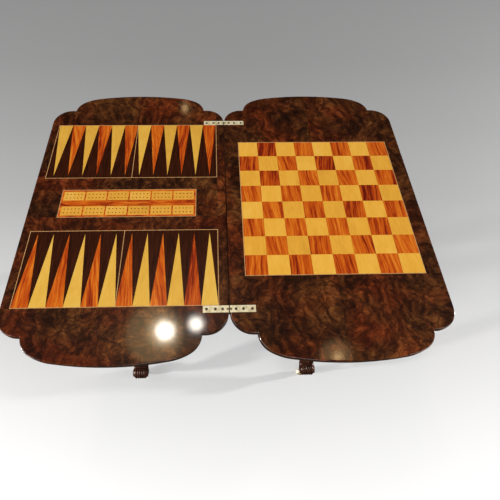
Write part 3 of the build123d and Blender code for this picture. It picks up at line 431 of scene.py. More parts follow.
def satinwood(name, cell, origin, tint):
    """Even golden wood with a fine grain, with painted shade in the peg holes drilled through it."""
    finish = Finish(name, polish)
    figure, chance = own_figure(finish, cell, origin, lean=0.2)
    fine_place = finish.stretched(figure, (1.0, 0.06, 1.0))
    fine = finish.noise(fine_place, scale=900.0, detail=3.0, roughness=0.6)
    sheen_place = finish.stretched(figure, (1.0, 0.35, 1.0))
    sheen = finish.noise(sheen_place, scale=60.0, detail=3.0, roughness=0.5, distortion=0.6)
    colour = finish.ramp(
        finish.weighted((fine, 0.45), (sheen, 0.40), (chance, 0.22)),
        (0.25, (0.62, 0.300, 0.030)),
        (0.48, (0.77, 0.395, 0.040)),
        (0.62, (0.82, 0.450, 0.054)),
        (0.85, (0.88, 0.560, 0.110)),
    )
    colour = finish.mix(1.0, colour, (*tint, 1.0), "MULTIPLY")
    # Painted shade: the wood is painted dark down inside the peg holes
    painted_hole_shade = finish.level(finish.parts(finish.place)["Z"], peg_hole_shade_top, peg_hole_shade_foot)
    finish.paint(finish.mix(painted_hole_shade, colour, (0.030, 0.0090, 0.0030, 1.0)))
    ripple(finish)
    return finish.material


def rosewood(name, cell, origin, grain=(1.0, 0.05, 1.0), lean=0.35):
    """Orange-red wood with dark streaks along its grain, darker in one piece than in the next."""
    finish = Finish(name, polish)
    figure, chance = own_figure(finish, cell, origin, lean)
    bend_place = finish.stretched(figure, (1.0, 0.5, 1.0))
    bend = finish.drift(bend_place, reach=(0.012, 0.012, 0.0), scale=28.0, detail=2.0)
    streaks = finish.stretched(finish.vector("ADD", figure, bend), grain)
    broad = finish.noise(streaks, scale=130.0, detail=2.0)
    fine = finish.noise(streaks, scale=340.0, detail=4.0, roughness=0.75)
    tone = finish.math("SUBTRACT", finish.weighted((broad, 0.55), (fine, 0.75)), 0.17)
    shade = finish.level(finish.math("POWER", chance, 3.0), 0.0, 1.0, to_low=0.055, to_high=-0.13)
    colour = finish.ramp(
        finish.math("ADD", tone, shade),
        (0.28, (0.110, 0.0065, 0.0016)),
        (0.38, (0.250, 0.0190, 0.0018)),
        (0.46, (0.460, 0.0600, 0.0026)),
        (0.55, (0.610, 0.1120, 0.0045)),
        (0.68, (0.760, 0.2300, 0.0160)),
    )
    finish.paint(colour)
    ripple(finish)
    return finish.material


def grained(name, grain, scale, detail, roughness, dark, pale):
    """A plain polished wood for the lines and the ground. dark and pale are its ramp's stops."""
    finish = Finish(name, polish)
    place = finish.stretched(finish.place, grain)
    tone = finish.noise(place, scale=scale, detail=detail, roughness=roughness)
    finish.paint(finish.ramp(tone, dark, pale))
    return finish


pale_squares = satinwood("satinwood_squares", chess_cell, chess_origin, tint=(1.04, 1.0, 1.05))
coat_node(pale_squares, "chess_pale_squares")
coat_node(rosewood("rosewood_squares", chess_cell, chess_origin), "chess_rosewood_squares")
pale_points = satinwood("satinwood_points", point_cell, point_origin, tint=(0.96, 1.02, 1.30))
coat_node(pale_points, "backgammon_pale_points")
coat_node(rosewood("rosewood_points", point_cell, point_origin), "backgammon_rosewood_points")
peg_plates = satinwood(
    "satinwood_peg_plates", peg_plate_cell, peg_plate_origin, tint=(0.97, 0.90, 1.05)
)
coat_node(peg_plates, "cribbage_plates")
peg_border = rosewood(
    "rosewood_peg_border", border_cell, border_origin, grain=(0.11, 1.0, 1.0), lean=0.0
)
coat_node(peg_border, "cribbage_frame")

boxwood = grained(
    "boxwood_line", grain=(1.0, 1.0, 1.0), scale=300.0, detail=2.0, roughness=0.5,
    dark=(0.3, (0.46, 0.22, 0.075)), pale=(0.7, (0.64, 0.38, 0.16)),
)
coat_node(boxwood.material, "chess_stringing", "flap_stringing")
ebonised = grained(
    "ebonised_ground", grain=(1.0, 0.05, 1.0), scale=480.0, detail=3.0, roughness=0.6,
    dark=(0.35, (0.018, 0.0038, 0.0012)), pale=(0.68, (0.056, 0.0110, 0.0028)),
)
ripple(ebonised)
coat_node(ebonised.material, "backgammon_ground")

# Hinges and screws
# Two pairs of narrow brass straps let in flush, with a two-pin link between each pair. The brass
# is rubbed pale, and dirt has darkened the screws.


def metal(name, pale, dark, roughness, metallic=1.0, stain_scale=90.0):
    """Metal with stains between two tones and fine scratches across it."""
    finish = Finish(name, {"Metallic": metallic})
    stain = finish.noise(finish.place, scale=stain_scale, detail=4.0, roughness=0.6)
    finish.paint(finish.ramp(stain, (0.34, dark), (0.56, pale)))
    scratch = finish.noise(finish.stretched(finish.place, (0.08, 1.0, 1.0)), scale=1500.0, detail=2.0)
    rough = finish.level(scratch, 0.3, 0.7, to_low=roughness * 0.8, to_high=roughness * 1.25)
    finish.paint(rough, "Roughness")
    finish.bump(scratch, distance=0.0001, strength=0.12)
    return finish.material


strap_brass = metal("rubbed_brass", (0.88, 0.79, 0.53), (0.60, 0.49, 0.27), roughness=0.45, metallic=0.25)
coat_node(strap_brass, "chess_hinge_plates", "flap_hinge_plates")
link_brass = metal("hinge_link_brass", (0.42, 0.33, 0.18), (0.16, 0.11, 0.06), roughness=0.45)
coat_node(link_brass, "hinge_links")
screw_brass = metal(
    "dirty_screws", (0.17, 0.135, 0.09), (0.045, 0.034, 0.025),
    roughness=0.5, metallic=0.8, stain_scale=400.0,
)
coat_node(screw_brass, "chess_leaf_screws", "flap_screws")

# Swivel under the top
# Forged iron: a plate let into the chess leaf, the bolt that the top turns on with its nut below
# the pivot board, and the peg that stops the turn.
iron = metal("blackened_iron", (0.085, 0.080, 0.075), (0.030, 0.026, 0.024), roughness=0.55)
coat_node(iron, "pivot_plate", "pivot_bolt", "pivot_nut", "stop_peg")

# Carcass
# Walnut veneer on the outside with its grain running lengthwise, plain waxed timber inside, and a
# walnut moulding planted round the foot. Strips of baize on the upper edges bear the turning top.


def timber(name, grain, tones, constants=polish, pores=0.5, figure=0.0, line=None):
    """Straight-grained wood in three tones. grain holds how much each axis is drawn out, figure is
    the share of flames in it, and line is the middle and half size of an oblong of pale stringing,
    seen along Y."""
    finish = Finish(name, constants)
    bend = finish.drift(finish.place, reach=(0.03, 0.03, 0.03), scale=6.0, detail=2.0)
    place = finish.stretched(finish.vector("ADD", finish.place, bend), grain)
    rings = finish.noise(place, scale=60.0, detail=4.0, roughness=0.55, distortion=0.4)
    fibre = finish.noise(place, scale=420.0, detail=3.0, roughness=0.6)
    tone = finish.weighted((rings, 0.70), (fibre, 0.30))
    if figure:
        flame = finish.noise(finish.place, scale=11.0, detail=4.0, roughness=0.6, distortion=1.6)
        tone = finish.weighted((flame, figure), (tone, 1 - figure))
    colour = finish.ramp(tone, *zip((0.34, 0.50, 0.66), tones))
    pits = finish.level(finish.noise(place, scale=900.0, detail=2.0), 0.62, 0.70)
    pit_colour = (*[share * 0.4 for share in tones[0]], 1.0)
    colour = finish.mix(finish.math("MULTIPLY", pits, pores), colour, pit_colour)
    if line:
        line_middle, (half_width, half_height) = line
        spot = finish.parts(finish.vector("SUBTRACT", finish.place, line_middle))
        past_x = finish.math("SUBTRACT", finish.math("ABSOLUTE", spot["X"]), half_width)
        past_z = finish.math("SUBTRACT", finish.math("ABSOLUTE", spot["Z"]), half_height)
        from_line = finish.math("ABSOLUTE", finish.math("MAXIMUM", past_x, past_z))
        colour = finish.mix(finish.level(from_line, 0.0008, 0.0006), colour, (0.44, 0.26, 0.09, 1.0))
    finish.paint(colour)
    finish.bump(fibre, distance=0.0002, strength=0.08)
    return finish.material


drawn_x, drawn_y, drawn_z = (0.07, 1.0, 1.0), (1.0, 0.07, 1.0), (1.0, 1.0, 0.07)
walnut_tones = ((0.024, 0.0085, 0.0042), (0.070, 0.0250, 0.0108), (0.140, 0.0550, 0.0225))
solid_tones = ((0.014, 0.0042, 0.0026), (0.037, 0.0112, 0.0058), (0.076, 0.0250, 0.0115))
lining_tones = ((0.130, 0.0560, 0.0200), (0.210, 0.1000, 0.0400), (0.290, 0.1500, 0.0650))
waxed = {"Roughness": 0.55, "Specular IOR Level": 0.35}
lengthwise_veneer = timber("walnut_front", drawn_x, walnut_tones, figure=0.55)
coat_node(lengthwise_veneer, "front_rails", "carcass_back")
coat_node(timber("walnut_ends", drawn_y, walnut_tones, figure=0.55), "carcass_ends")
coat_node(timber("walnut_moulding", drawn_x, solid_tones), "frieze_moulding")
plain_boards = timber("plain_boards", drawn_x, lining_tones, waxed)
coat_node(plain_boards, "dustboard", "pivot_board")
plain_rails = timber("plain_rails", drawn_y, lining_tones, waxed)
coat_node(plain_rails, "drawer_runners", "compartment_partition", "well_runners")


def wool(name, dark, pale):
    """Close felted wool: a soft nap, a little fluff and no weave."""
    finish = Finish(name, {"Roughness": 0.95, "Sheen Weight": 0.5, "Sheen Roughness": 0.5})
    nap = finish.noise(finish.place, scale=900.0, detail=4.0, roughness=0.7)
    patches = finish.noise(finish.place, scale=25.0, detail=3.0)
    tone = finish.weighted((nap, 0.6), (patches, 0.4))
    finish.paint(finish.ramp(tone, (0.35, dark), (0.65, pale)))
    finish.bump(nap, distance=0.0006, strength=0.5)
    return finish.material


baize = wool("green_baize", (0.010, 0.042, 0.020), (0.026, 0.090, 0.044))
coat_node(baize, "slide_felts")

# Lipping of the joint
# Thin strips of walnut glued to the two edges that meet. They nearly close the joint between the
# leaves, stay below the hinge pins' height, and are cut away round the lugs of the straps.
lipping_thick = 0.00090
lipping_foot, lipping_top, lug_foot = (table_top - drop for drop in (0.0108, 0.0023, 0.0050))
strap_half = 0.0070
strap_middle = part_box("chess_hinge_plates")[1].y - strap_half
lug_clearance = 0.0002
notch_half = strap_half + lug_clearance
touching = 0.00001
lipping_walnut = timber("joint_lipping", drawn_y, solid_tones)
for leaf, body, side in (("chess_leaf", "base_leaf", 1), ("backgammon_leaf", "flap", -1)):
    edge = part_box(leaf)[0].x if side > 0 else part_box(leaf)[1].x
    corners = [cad_nodes[leaf].matrix_world @ vertex.co for vertex in cad_nodes[leaf].data.vertices]
    end = max(corner.y for corner in corners if abs(corner.x - edge) < touching)
    stops = (-end, -strap_middle - notch_half, notch_half - strap_middle)
    stops += tuple(-stop for stop in reversed(stops))
    work = bmesh.new()
    for number, (start, stop) in enumerate(zip(stops, stops[1:])):
        at_strap = number in (1, 3)
        low = Vector((edge - side * lipping_thick, start, lipping_foot))
        high = Vector((edge, stop, lug_foot if at_strap else lipping_top))
        size = Vector((lipping_thick, stop - start, high.z - low.z))
        strip_place = Matrix.LocRotScale((low + high) / 2, None, size)
        bmesh.ops.create_cube(work, size=1.0, matrix=strip_place)
    mesh = bpy.data.meshes.new("joint_lipping")
    work.to_mesh(mesh)
    work.free()
    mesh.materials.append(lipping_walnut)
    lipping = scene_object(leaf + "_lipping", mesh)
    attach(lipping, body)

# Baize of the games compartment
# A sheet of green baize glued to the compartment's floor. It lies a little unevenly, and its cut
# edge is soft.
baize_low, baize_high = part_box("compartment_baize")
baize_thick = baize_high.z - baize_low.z
cut_edge = 0.002
lowest_share, full_share, uneven_share = 0.35, 0.50, 0.15


def closed_shell(name, upper, lower, material):
    """A closed mesh between two grids of points that have the same rows."""
    rows, columns = len(upper), len(upper[0])
    count = rows * columns
    vertices = [point for row in upper for point in row] + [point for row in lower for point in row]
    faces = []
    for i in range(rows - 1):
        for j in range(columns - 1):
            corner = i * columns + j
            ring = (corner, corner + 1, corner + columns + 1, corner + columns)
            faces.append(ring)
            faces.append(tuple(index + count for index in reversed(ring)))
    border = list(range(columns))
    border += [i * columns + columns - 1 for i in range(1, rows)]
    border += [(rows - 1) * columns + j for j in range(columns - 2, -1, -1)]
    border += [i * columns for i in range(rows - 2, 0, -1)]
    for here, after in zip(border, border[1:] + border[:1]):
        faces.append((here, here + count, after + count, after))
    mesh = bpy.data.meshes.new(name)
    mesh.from_pydata(vertices, [], faces)
    work = bmesh.new()
    work.from_mesh(mesh)
    bmesh.ops.remove_doubles(work, verts=work.verts, dist=1e-6)
    bmesh.ops.recalc_face_normals(work, faces=work.faces)
    work.to_mesh(mesh)
    work.free()
    mesh.materials.append(material)
    mesh.shade_smooth()
    return scene_object(name, mesh)


def spread(low, high, steps):
    """Evenly spaced values, with both ends among them."""
    return [low + (high - low) * step / steps for step in range(steps + 1)]


def baize_height(x, y):
    from_edge = min(x - baize_low.x, baize_high.x - x, y - baize_low.y, baize_high.y - y)
    soft_edge = min(1.0, max(0.0, from_edge) / cut_edge) ** 0.5
    uneven = uneven_share * sin(41 * x + 17 * y) * sin(29 * y - 13 * x)
    return baize_low.z + baize_thick * (lowest_share + full_share * soft_edge + uneven * soft_edge)


baize_x = spread(baize_low.x, baize_high.x, 80)
baize_y = spread(baize_low.y, baize_high.y, 80)
baize_sheet = closed_shell(
    "baize_sheet",
    [[(x, y, baize_height(x, y)) for y in baize_y] for x in baize_x],
    [[(x, y, baize_low.z) for y in baize_y] for x in baize_x],
    baize,
)
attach(baize_sheet, "frame")
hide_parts("compartment_baize")

# Drawer and its knobs
# The front is veneered like the carcass and has a line of pale stringing let in round it. The box
# behind it is of plain waxed boards, and the knobs are turned from solid walnut and glued in.
front_low, front_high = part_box("drawer_front")
front_middle = (front_low + front_high) / 2
line_inset = 0.012
line_half_width = front_high.x - line_inset
line_half_height = (front_high.z - front_low.z) / 2 - line_inset
front_line = (tuple(front_middle), (line_half_width, line_half_height))
front_veneer = timber("walnut_drawer_front", drawn_x, walnut_tones, figure=0.55, line=front_line)
coat_node(front_veneer, "drawer_front")
coat_node(plain_boards, "drawer_bottom", "drawer_back")
coat_node(plain_rails, "drawer_sides", "drawer_dividers")
coat_node(timber("turned_knobs", drawn_y, solid_tones, pores=0.35), "drawer_knobs", "well_knobs")

# Pincushion
# Dark red silk velvet over wool, drawn down by three covered buttons and edged with a roll of the
# same velvet. It fills the middle tray of the drawer.
cushion_low, cushion_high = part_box("pincushion")
cushion_middle = (cushion_low + cushion_high) / 2
cushion_half = (cushion_high - cushion_low) / 2
cushion_steps = 60
button_shares = (-0.5, 0.0, 0.5)
button_places = [(cushion_middle.x + share * cushion_half.x, cushion_middle.y) for share in button_shares]
seam_share = 0.42
side_pull, corner_round = 0.055, 0.035
shoulder_share, base_fill = 0.86, 1.5
dimple_depth, dimple_reach, fold_share, folds_round_button = 0.0085, 0.016, 0.25, 6


def cushion_point(u, v, side):
    """side is 1 for the crown and -1 for the base, and u and v run from -1 to 1."""
    corner = 1 - corner_round * v * v * u * u
    x = cushion_middle.x + cushion_half.x * u * (1 - side_pull * (1 - v * v)) * corner
    y = cushion_middle.y + cushion_half.y * v * (1 - side_pull * (1 - u * u)) * corner
    seam = cushion_low.z + 2 * cushion_half.z * seam_share
    fullness = sqrt(sqrt(max(0.0, (1 - u ** 4) * (1 - v ** 4))))
    if side < 0:
        return (x, y, seam + (cushion_low.z - seam) * min(1.0, fullness * base_fill))
    roundness = shoulder_share + (1 - shoulder_share) * (1 - u * u) * (1 - v * v)
    crown = (cushion_high.z - seam) * fullness * roundness
    for button_x, button_y in button_places:
        away = sqrt((x - button_x) ** 2 + (y - button_y) ** 2)
        bearing = asin(max(-1.0, min(1.0, (y - button_y) / max(away, 1e-6))))
        folds = 1 + fold_share * cos(folds_round_button * bearing)
        crown -= dimple_depth * exp(-((away / dimple_reach) ** 2)) * folds
    return (x, y, seam + crown)


cushion_shares = spread(-1.0, 1.0, cushion_steps)
velvet = Finish("red_velvet", {"Roughness": 0.85, "Sheen Weight": 0.8, "Sheen Roughness": 0.35})
velvet_pile = velvet.noise(velvet.place, scale=1400.0, detail=3.0, roughness=0.7)
velvet_rubbed = velvet.noise(velvet.place, scale=45.0, detail=3.0, roughness=0.6)
velvet_tone = velvet.weighted((velvet_pile, 0.5), (velvet_rubbed, 0.5))
velvet.paint(velvet.ramp(velvet_tone, (0.36, (0.055, 0.004, 0.006)), (0.64, (0.170, 0.014, 0.020))))
velvet.bump(velvet_pile, distance=0.0004, strength=0.4)
cushion = closed_shell(
    "velvet_cushion",
    [[cushion_point(u, v, 1) for v in cushion_shares] for u in cushion_shares],
    [[cushion_point(u, v, -1) for v in cushion_shares] for u in cushion_shares],
    velvet.material,
)
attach(cushion, "drawer")
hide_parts("pincushion")


def plain_mesh(made):
    """The finished mesh of a curve, or of an object with its modifiers."""
    bpy.context.view_layer.update()
    return bpy.data.meshes.new_from_object(made.evaluated_get(bpy.context.evaluated_depsgraph_get()))


def tube(name, points, radius, material, closed=False):
    """A round cord or bead along a line of points."""
    line = bpy.data.curves.new(name, "CURVE")
    line.dimensions = "3D"
    line.bevel_depth = radius
    line.bevel_resolution = 3
    spline = line.splines.new("POLY")
    spline.points.add(len(points) - 1)
    for point, place in zip(spline.points, points):
        point.co = (*place, 1.0)
    spline.use_cyclic_u = closed
    curve = scene_object(name, line)
    mesh = plain_mesh(curve)
    bpy.data.objects.remove(curve)
    mesh.materials.clear()
    mesh.materials.append(material)
    mesh.shade_smooth()
    return scene_object(name, mesh)


edge_line = [cushion_point(u, -1, 1) for u in cushion_shares[:-1]]
edge_line += [cushion_point(1, v, 1) for v in cushion_shares[:-1]]
edge_line += [cushion_point(u, 1, 1) for u in reversed(cushion_shares[1:])]
edge_line += [cushion_point(-1, v, 1) for v in reversed(cushion_shares[1:])]
edging_radius = 0.0011
cushion_edging = tube("cushion_edging", edge_line, edging_radius, velvet.material, closed=True)
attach(cushion_edging, "drawer")

# Drawer bead and escutcheon
# A thin walnut bead is let in round the drawer's front, and a small oval brass escutcheon frames
# the keyhole, which is a dark plug of painted shade where the hole would be.
turned_walnut = timber("turned_walnut", drawn_z, solid_tones, pores=0.35)
bead_radius = 0.0013
bead_inset = 0.0022
bead_left, bead_right = front_low.x + bead_inset, front_high.x - bead_inset
bead_foot, bead_top = front_low.z + bead_inset, front_high.z - bead_inset
bead_line = [
    (bead_left, front_low.y, bead_foot),
    (bead_right, front_low.y, bead_foot),
    (bead_right, front_low.y, bead_top),
    (bead_left, front_low.y, bead_top),
]
drawer_bead = tube("drawer_bead", bead_line, bead_radius, turned_walnut, closed=True)
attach(drawer_bead, "drawer")
plate_over_middle = 0.006
plate_middle = Vector((0.0, front_low.y, front_middle.z + plate_over_middle))
plate_half_width, plate_half_height, plate_crown = 0.0065, 0.0095, 0.0005
plate_face, plate_back = front_low.y - 0.0006, front_low.y + 0.0010
keyhole_face = front_low.y - 0.0013
hole_middle = plate_middle + Vector((0.0, 0.0, 0.0020))
hole_radius = 0.0015
leg_middle = plate_middle - Vector((0.0, 0.0, 0.0012))
leg_half_width, leg_half_height = 0.0007, 0.0034


def oval(half_width, half_height, middle, face, crown=0.0):
    """Rows of points of a slightly crowned oval that faces the player."""
    rows = []
    for ring in spread(0.0, 1.0, 8):
        row = []
        for angle in spread(0.0, tau, 48):
            x = middle.x + half_width * ring * cos(angle)
            z = middle.z + half_height * ring * sin(angle)
            row.append((x, face - crown * (1 - ring * ring), z))
        rows.append(row)
    return rows


escutcheon = closed_shell(
    "escutcheon",
    oval(plate_half_width, plate_half_height, plate_middle, plate_face, plate_crown),
    oval(plate_half_width, plate_half_height, plate_middle, plate_back),
    strap_brass,
)
# Painted shade: the keyhole is a dark plug just proud of the plate, not a hole
keyhole_shade = closed_shell(
    "keyhole_shade",
    oval(hole_radius, hole_radius, hole_middle, keyhole_face),
    oval(hole_radius, hole_radius, hole_middle, front_low.y),
    ebonised.material,
)
keyhole_leg_shade = closed_shell(
    "keyhole_leg_shade",
    oval(leg_half_width, leg_half_height, leg_middle, keyhole_face),
    oval(leg_half_width, leg_half_height, leg_middle, front_low.y),
    ebonised.material,
)
for piece, slot_name in ((escutcheon, "brass"), (keyhole_shade, "iron"), (keyhole_leg_shade, "iron")):
    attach(piece, "drawer")

# Buttons of the pincushion
# Three flat buttons covered with the same velvet, sewn through the cushion so that they draw it
# down into dimples.
button_radius = 0.0055
button_lift = 0.0006
button_flattening = (1.0, 1.0, 0.45)
unturned = (0.0, 0.0, 0.0)


def tree_step(tree, kind, sockets):
    """One step of a Geometry Nodes tree, with its values set and its links made."""
    node = tree.nodes.new("GeometryNode" + kind)
    for name, value in sockets.items():
        if isinstance(value, bpy.types.NodeSocket):
            tree.links.new(value, node.inputs[name])
        else:
            node.inputs[name].default_value = value
    return node.outputs[0]


def repeated(name, places, turns, sizes, make_shape, material):
    """Copies of one shape as one plain mesh. Each point of a mesh is turned into a copy with a
    turn of its own, and sizes holds the named sizes that make_shape draws the shape with."""
    mesh = bpy.data.meshes.new(name)
    mesh.from_pydata(places, [], [])
    turn_values = mesh.attributes.new("turn", "FLOAT_VECTOR", "POINT")
    for value, turn in zip(turn_values.data, turns):
        value.vector = turn
    piece = scene_object(name, mesh)
    tree = bpy.data.node_groups.new(name, "GeometryNodeTree")
    tree.interface.new_socket("Places", in_out="INPUT", socket_type="NodeSocketGeometry")
    for label in sizes:
        tree.interface.new_socket(label, in_out="INPUT", socket_type="NodeSocketFloat")
    tree.interface.new_socket("Copies", in_out="OUTPUT", socket_type="NodeSocketGeometry")
    source = tree.nodes.new("NodeGroupInput").outputs
    turn_input = tree.nodes.new("GeometryNodeInputNamedAttribute")
    turn_input.data_type = "FLOAT_VECTOR"
    turn_input.inputs["Name"].default_value = "turn"
    own_turn = next(socket for socket in turn_input.outputs if socket.enabled)
    shape = make_shape(tree, source)
    points = {"Points": source["Places"], "Instance": shape, "Rotation": own_turn}
    copies = tree_step(tree, "InstanceOnPoints", points)
    real = tree_step(tree, "RealizeInstances", {"Geometry": copies})
    smooth = tree_step(tree, "SetShadeSmooth", {"Geometry": real})
    painted = tree_step(tree, "SetMaterial", {"Geometry": smooth, "Material": material})
    tree.links.new(painted, tree.nodes.new("NodeGroupOutput").inputs[0])
    modifier = piece.modifiers.new(name, "NODES")
    modifier.node_group = tree
    for item in tree.interface.items_tree:
        if item.in_out == "INPUT" and item.name in sizes:
            modifier[item.identifier] = sizes[item.name]
    made = plain_mesh(piece)
    piece.modifiers.clear()
    piece.data = made
    return piece


def ball(tree, radius, segments, rings):
    return tree_step(tree, "MeshUVSphere", {"Radius": radius, "Segments": segments, "Rings": rings})


def button_shape(tree, source):
    round_button = ball(tree, source["Button radius"], segments=20, rings=10)
    return tree_step(tree, "Transform", {"Geometry": round_button, "Scale": button_flattening})


def button_height(x, y):
    u = (x - cushion_middle.x) / cushion_half.x
    v = (y - cushion_middle.y) / cushion_half.y
    return cushion_point(u, v, 1)[2]


cushion_buttons = repeated(
    "cushion_buttons",
    [(x, y, button_height(x, y) + button_lift) for x, y in button_places],
    [unturned] * len(button_places),
    {"Button radius": button_radius},
    button_shape,
    velvet.material,
)
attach(cushion_buttons, "drawer")

# Work well
# A tapered box that slides out below the carcass, of walnut veneer with a moulded base and a turned
# drop glued below it. It is lined with printed paper: rows of small pale dots on a faded red ground.
coat_node(timber("well_walnut", drawn_x, walnut_tones, figure=0.5), "well_walls", "well_frame")
coat_node(timber("well_walnut_ends", drawn_y, walnut_tones, figure=0.5), "well_ends")
coat_node(timber("well_base_walnut", drawn_x, solid_tones), "well_base")
coat_node(turned_walnut, "well_drop")
lining = Finish("lining_paper", {"Roughness": 0.85, "Specular IOR Level": 0.2})
paper_fibre = lining.noise(lining.place, scale=600.0, detail=4.0, roughness=0.7)
faded_red = lining.ramp(paper_fibre, (0.3, (0.30, 0.050, 0.045)), (0.7, (0.42, 0.085, 0.070)))
dots = lining.add("TexVoronoi", {"Vector": lining.place, "Scale": 90.0, "Randomness": 0.0}).outputs[0]
dot_share = lining.level(dots, 0.24, 0.20)
lining.paint(lining.mix(dot_share, faded_red, (0.60, 0.36, 0.18, 1.0)))
coat_node(lining.material, "well_lining")

# Beads of the work well
# A quarter bead covers each mitred corner of the well, and a row of turned pearls is glued round
# its foot.
wall_low, wall_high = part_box("well_walls")
base_low, base_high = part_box("well_base")
well_end_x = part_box("well_ends")[1].x
well_middle_y = (wall_low.y + wall_high.y) / 2
well_half_y = (wall_high.y - wall_low.y) / 2
foot_lip = 0.007
foot_half_x = (base_high.x - base_low.x) / 2 - foot_lip
foot_half_y = (base_high.y - base_low.y) / 2 - foot_lip
corner_bead_radius = 0.0021
for i, word in ((1, "right"), (-1, "left")):
    for j, end in ((1, "back"), (-1, "front")):
        corner_line = [
            (i * well_end_x, well_middle_y + j * well_half_y, wall_high.z),
            (i * foot_half_x, well_middle_y + j * foot_half_y, wall_low.z),
        ]
        bead_name = "well_bead_{}_{}".format(end, word)
        corner_bead = tube(bead_name, corner_line, corner_bead_radius, turned_walnut)
        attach(corner_bead, "work_well")
pearl_radius = 0.0022
pearl_pitch = 0.0052
pearl_lift = 0.4 * pearl_radius
pearl_z = base_high.z + pearl_lift
pearl_places = []
for x in spread(-foot_half_x, foot_half_x, int(2 * foot_half_x / pearl_pitch)):
    for j in (1, -1):
        pearl_places.append((x, well_middle_y + j * (foot_half_y + pearl_radius), pearl_z))
for y in spread(-foot_half_y, foot_half_y, int(2 * foot_half_y / pearl_pitch)):
    for i in (1, -1):
        pearl_places.append((i * (foot_half_x + pearl_radius), well_middle_y + y, pearl_z))


def pearl_shape(tree, source):
    return ball(tree, source["Pearl radius"], segments=12, rings=8)


well_pearls = repeated(
    "well_pearls",
    pearl_places,
    [unturned] * len(pearl_places),
    {"Pearl radius": pearl_radius},
    pearl_shape,
    turned_walnut,
)
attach(well_pearls, "work_well")

# End supports
# Solid walnut: bearers under the carcass, twin turned columns, trestles, scrolled legs and a
# turned stretcher between the trestles. The carved work is darker, with a dull polish.
coat_node(turned_walnut, "columns", "stretcher_finial")
coat_node(timber("turned_stretcher", drawn_x, solid_tones, pores=0.35), "stretcher")
dull_polish = {
    "Roughness": 0.36,
    "Specular IOR Level": 0.25,
    "Specular Tint": (1.0, 0.62, 0.45, 1.0),
    "Coat Weight": 0.12,
    "Coat Roughness": 0.20,
}
carved_tones = ((0.009, 0.0026, 0.0017), (0.025, 0.0074, 0.0040), (0.054, 0.0170, 0.0080))
carved = timber("carved_walnut", drawn_y, carved_tones, dull_polish, pores=0.4)
coat_node(carved, "bearers", "trestles", "legs")

# Reeding of the columns
# The shaft of each column is reeded, and the swelling below it is carved with thicker gadroons,
# all of them bowed like the turning that they lie on. Their places are shares of its size.
columns_low, columns_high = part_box("columns")
column_radius = 0.027
column_length = columns_high.z - columns_low.z
column_x = columns_high.x - column_radius
column_y = columns_high.y - column_radius
reeds_a_shaft, shaft_reed_radius = 20, 0.0019
shaft_foot, shaft_top = (0.56, 0.362), (0.66, 0.692)
gadroons_a_swelling, gadroon_radius = 14, 0.0042
swelling_foot, swelling_top = (0.66, 0.085), (0.98, 0.165)


def swept(tree, path, radius, turn):
    """A round bead along a path, turned to face the way that it lies on the piece."""
    ring = tree_step(tree, "CurvePrimitiveCircle", {"Resolution": 10, "Radius": radius})
    bead = tree_step(tree, "CurveToMesh", {"Curve": path, "Profile Curve": ring, "Fill Caps": True})
    return tree_step(tree, "Transform", {"Geometry": bead, "Rotation": turn})


def bowed_reed(start, end, bow, sink):
    """A reed whose centre line bows outward between two (radius, height) shares of the column."""
    first = Vector((start[0] * column_radius, start[1] * column_length))
    last = Vector((end[0] * column_radius, end[1] * column_length))
    along = (last - first).normalized()
    outward = Vector((along.y, -along.x))
    middle = (first + last) / 2 + outward * (2 * bow * column_length - sink)
    first, last = first - outward * sink, last - outward * sink

    bend = {"Start": first, "Middle": middle, "End": last}
    bend = {label: (point.x, 0.0, point.y) for label, point in bend.items()}

    def shape(tree, source):
        path = tree_step(tree, "CurveQuadraticBezier", {"Resolution": 18, **bend})
        return swept(tree, path, source["Reed radius"], unturned)

    return shape


def round_the_columns(name, count, radius, make_shape, material):
    """A ring of reeds on each of the four columns."""
    places = [
        (i * column_x, j * column_y, columns_low.z)
        for i in (1, -1)
        for j in (1, -1)
        for index in range(count)
    ]
    turns = [(0.0, 0.0, tau * (index + 0.5) / count) for index in range(count)] * 4
    return repeated(name, places, turns, {"Reed radius": radius}, make_shape, material)


shaft_reed = bowed_reed(shaft_foot, shaft_top, bow=0.012, sink=0.0010)
gadroon = bowed_reed(swelling_foot, swelling_top, bow=0.017, sink=0.0031)
column_reeds = round_the_columns(
    "column_reeds", reeds_a_shaft, shaft_reed_radius, shaft_reed, turned_walnut
)
column_gadroons = round_the_columns(
    "column_gadroons", gadroons_a_swelling, gadroon_radius, gadroon, carved
)
for piece in (column_reeds, column_gadroons):
    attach(piece, "frame")

# Carved leaves on the legs
# An acanthus leaf is cut on the knee of each leg: lobed sides, veins that run out from a raised
# midrib, and a tip that curls up before the toe.
legs_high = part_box("legs")[1]
trestles_low, trestles_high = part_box("trestles")
plate_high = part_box("castor_plates")[1]
plate_radius = 0.015
support_x = plate_high.x - plate_radius
toe_y = plate_high.y - plate_radius
leg_places = [(i, j) for i in (1, -1) for j in (1, -1)]
leg_surface = BVHTree.FromObject(cad_nodes["legs"], bpy.context.evaluated_depsgraph_get())
straight_down = Vector((0.0, 0.0, -1.0))
leaf_root, leaf_tip = trestles_high.y + 0.004, legs_high.y - 0.030
leaf_half_width = 0.0185
leaf_relief = 0.0030
leaf_sunk, leaf_back = 0.0007, 0.0025
lobes_a_side, lobe_depth, leaf_taper = 5.5, 0.20, 0.38
rib_height, rib_width = 0.45, 0.11
vein_height, veins_a_side, vein_lean = 0.22, 7.5, 1.5
curl_height, curl_starts = 0.9, 0.82


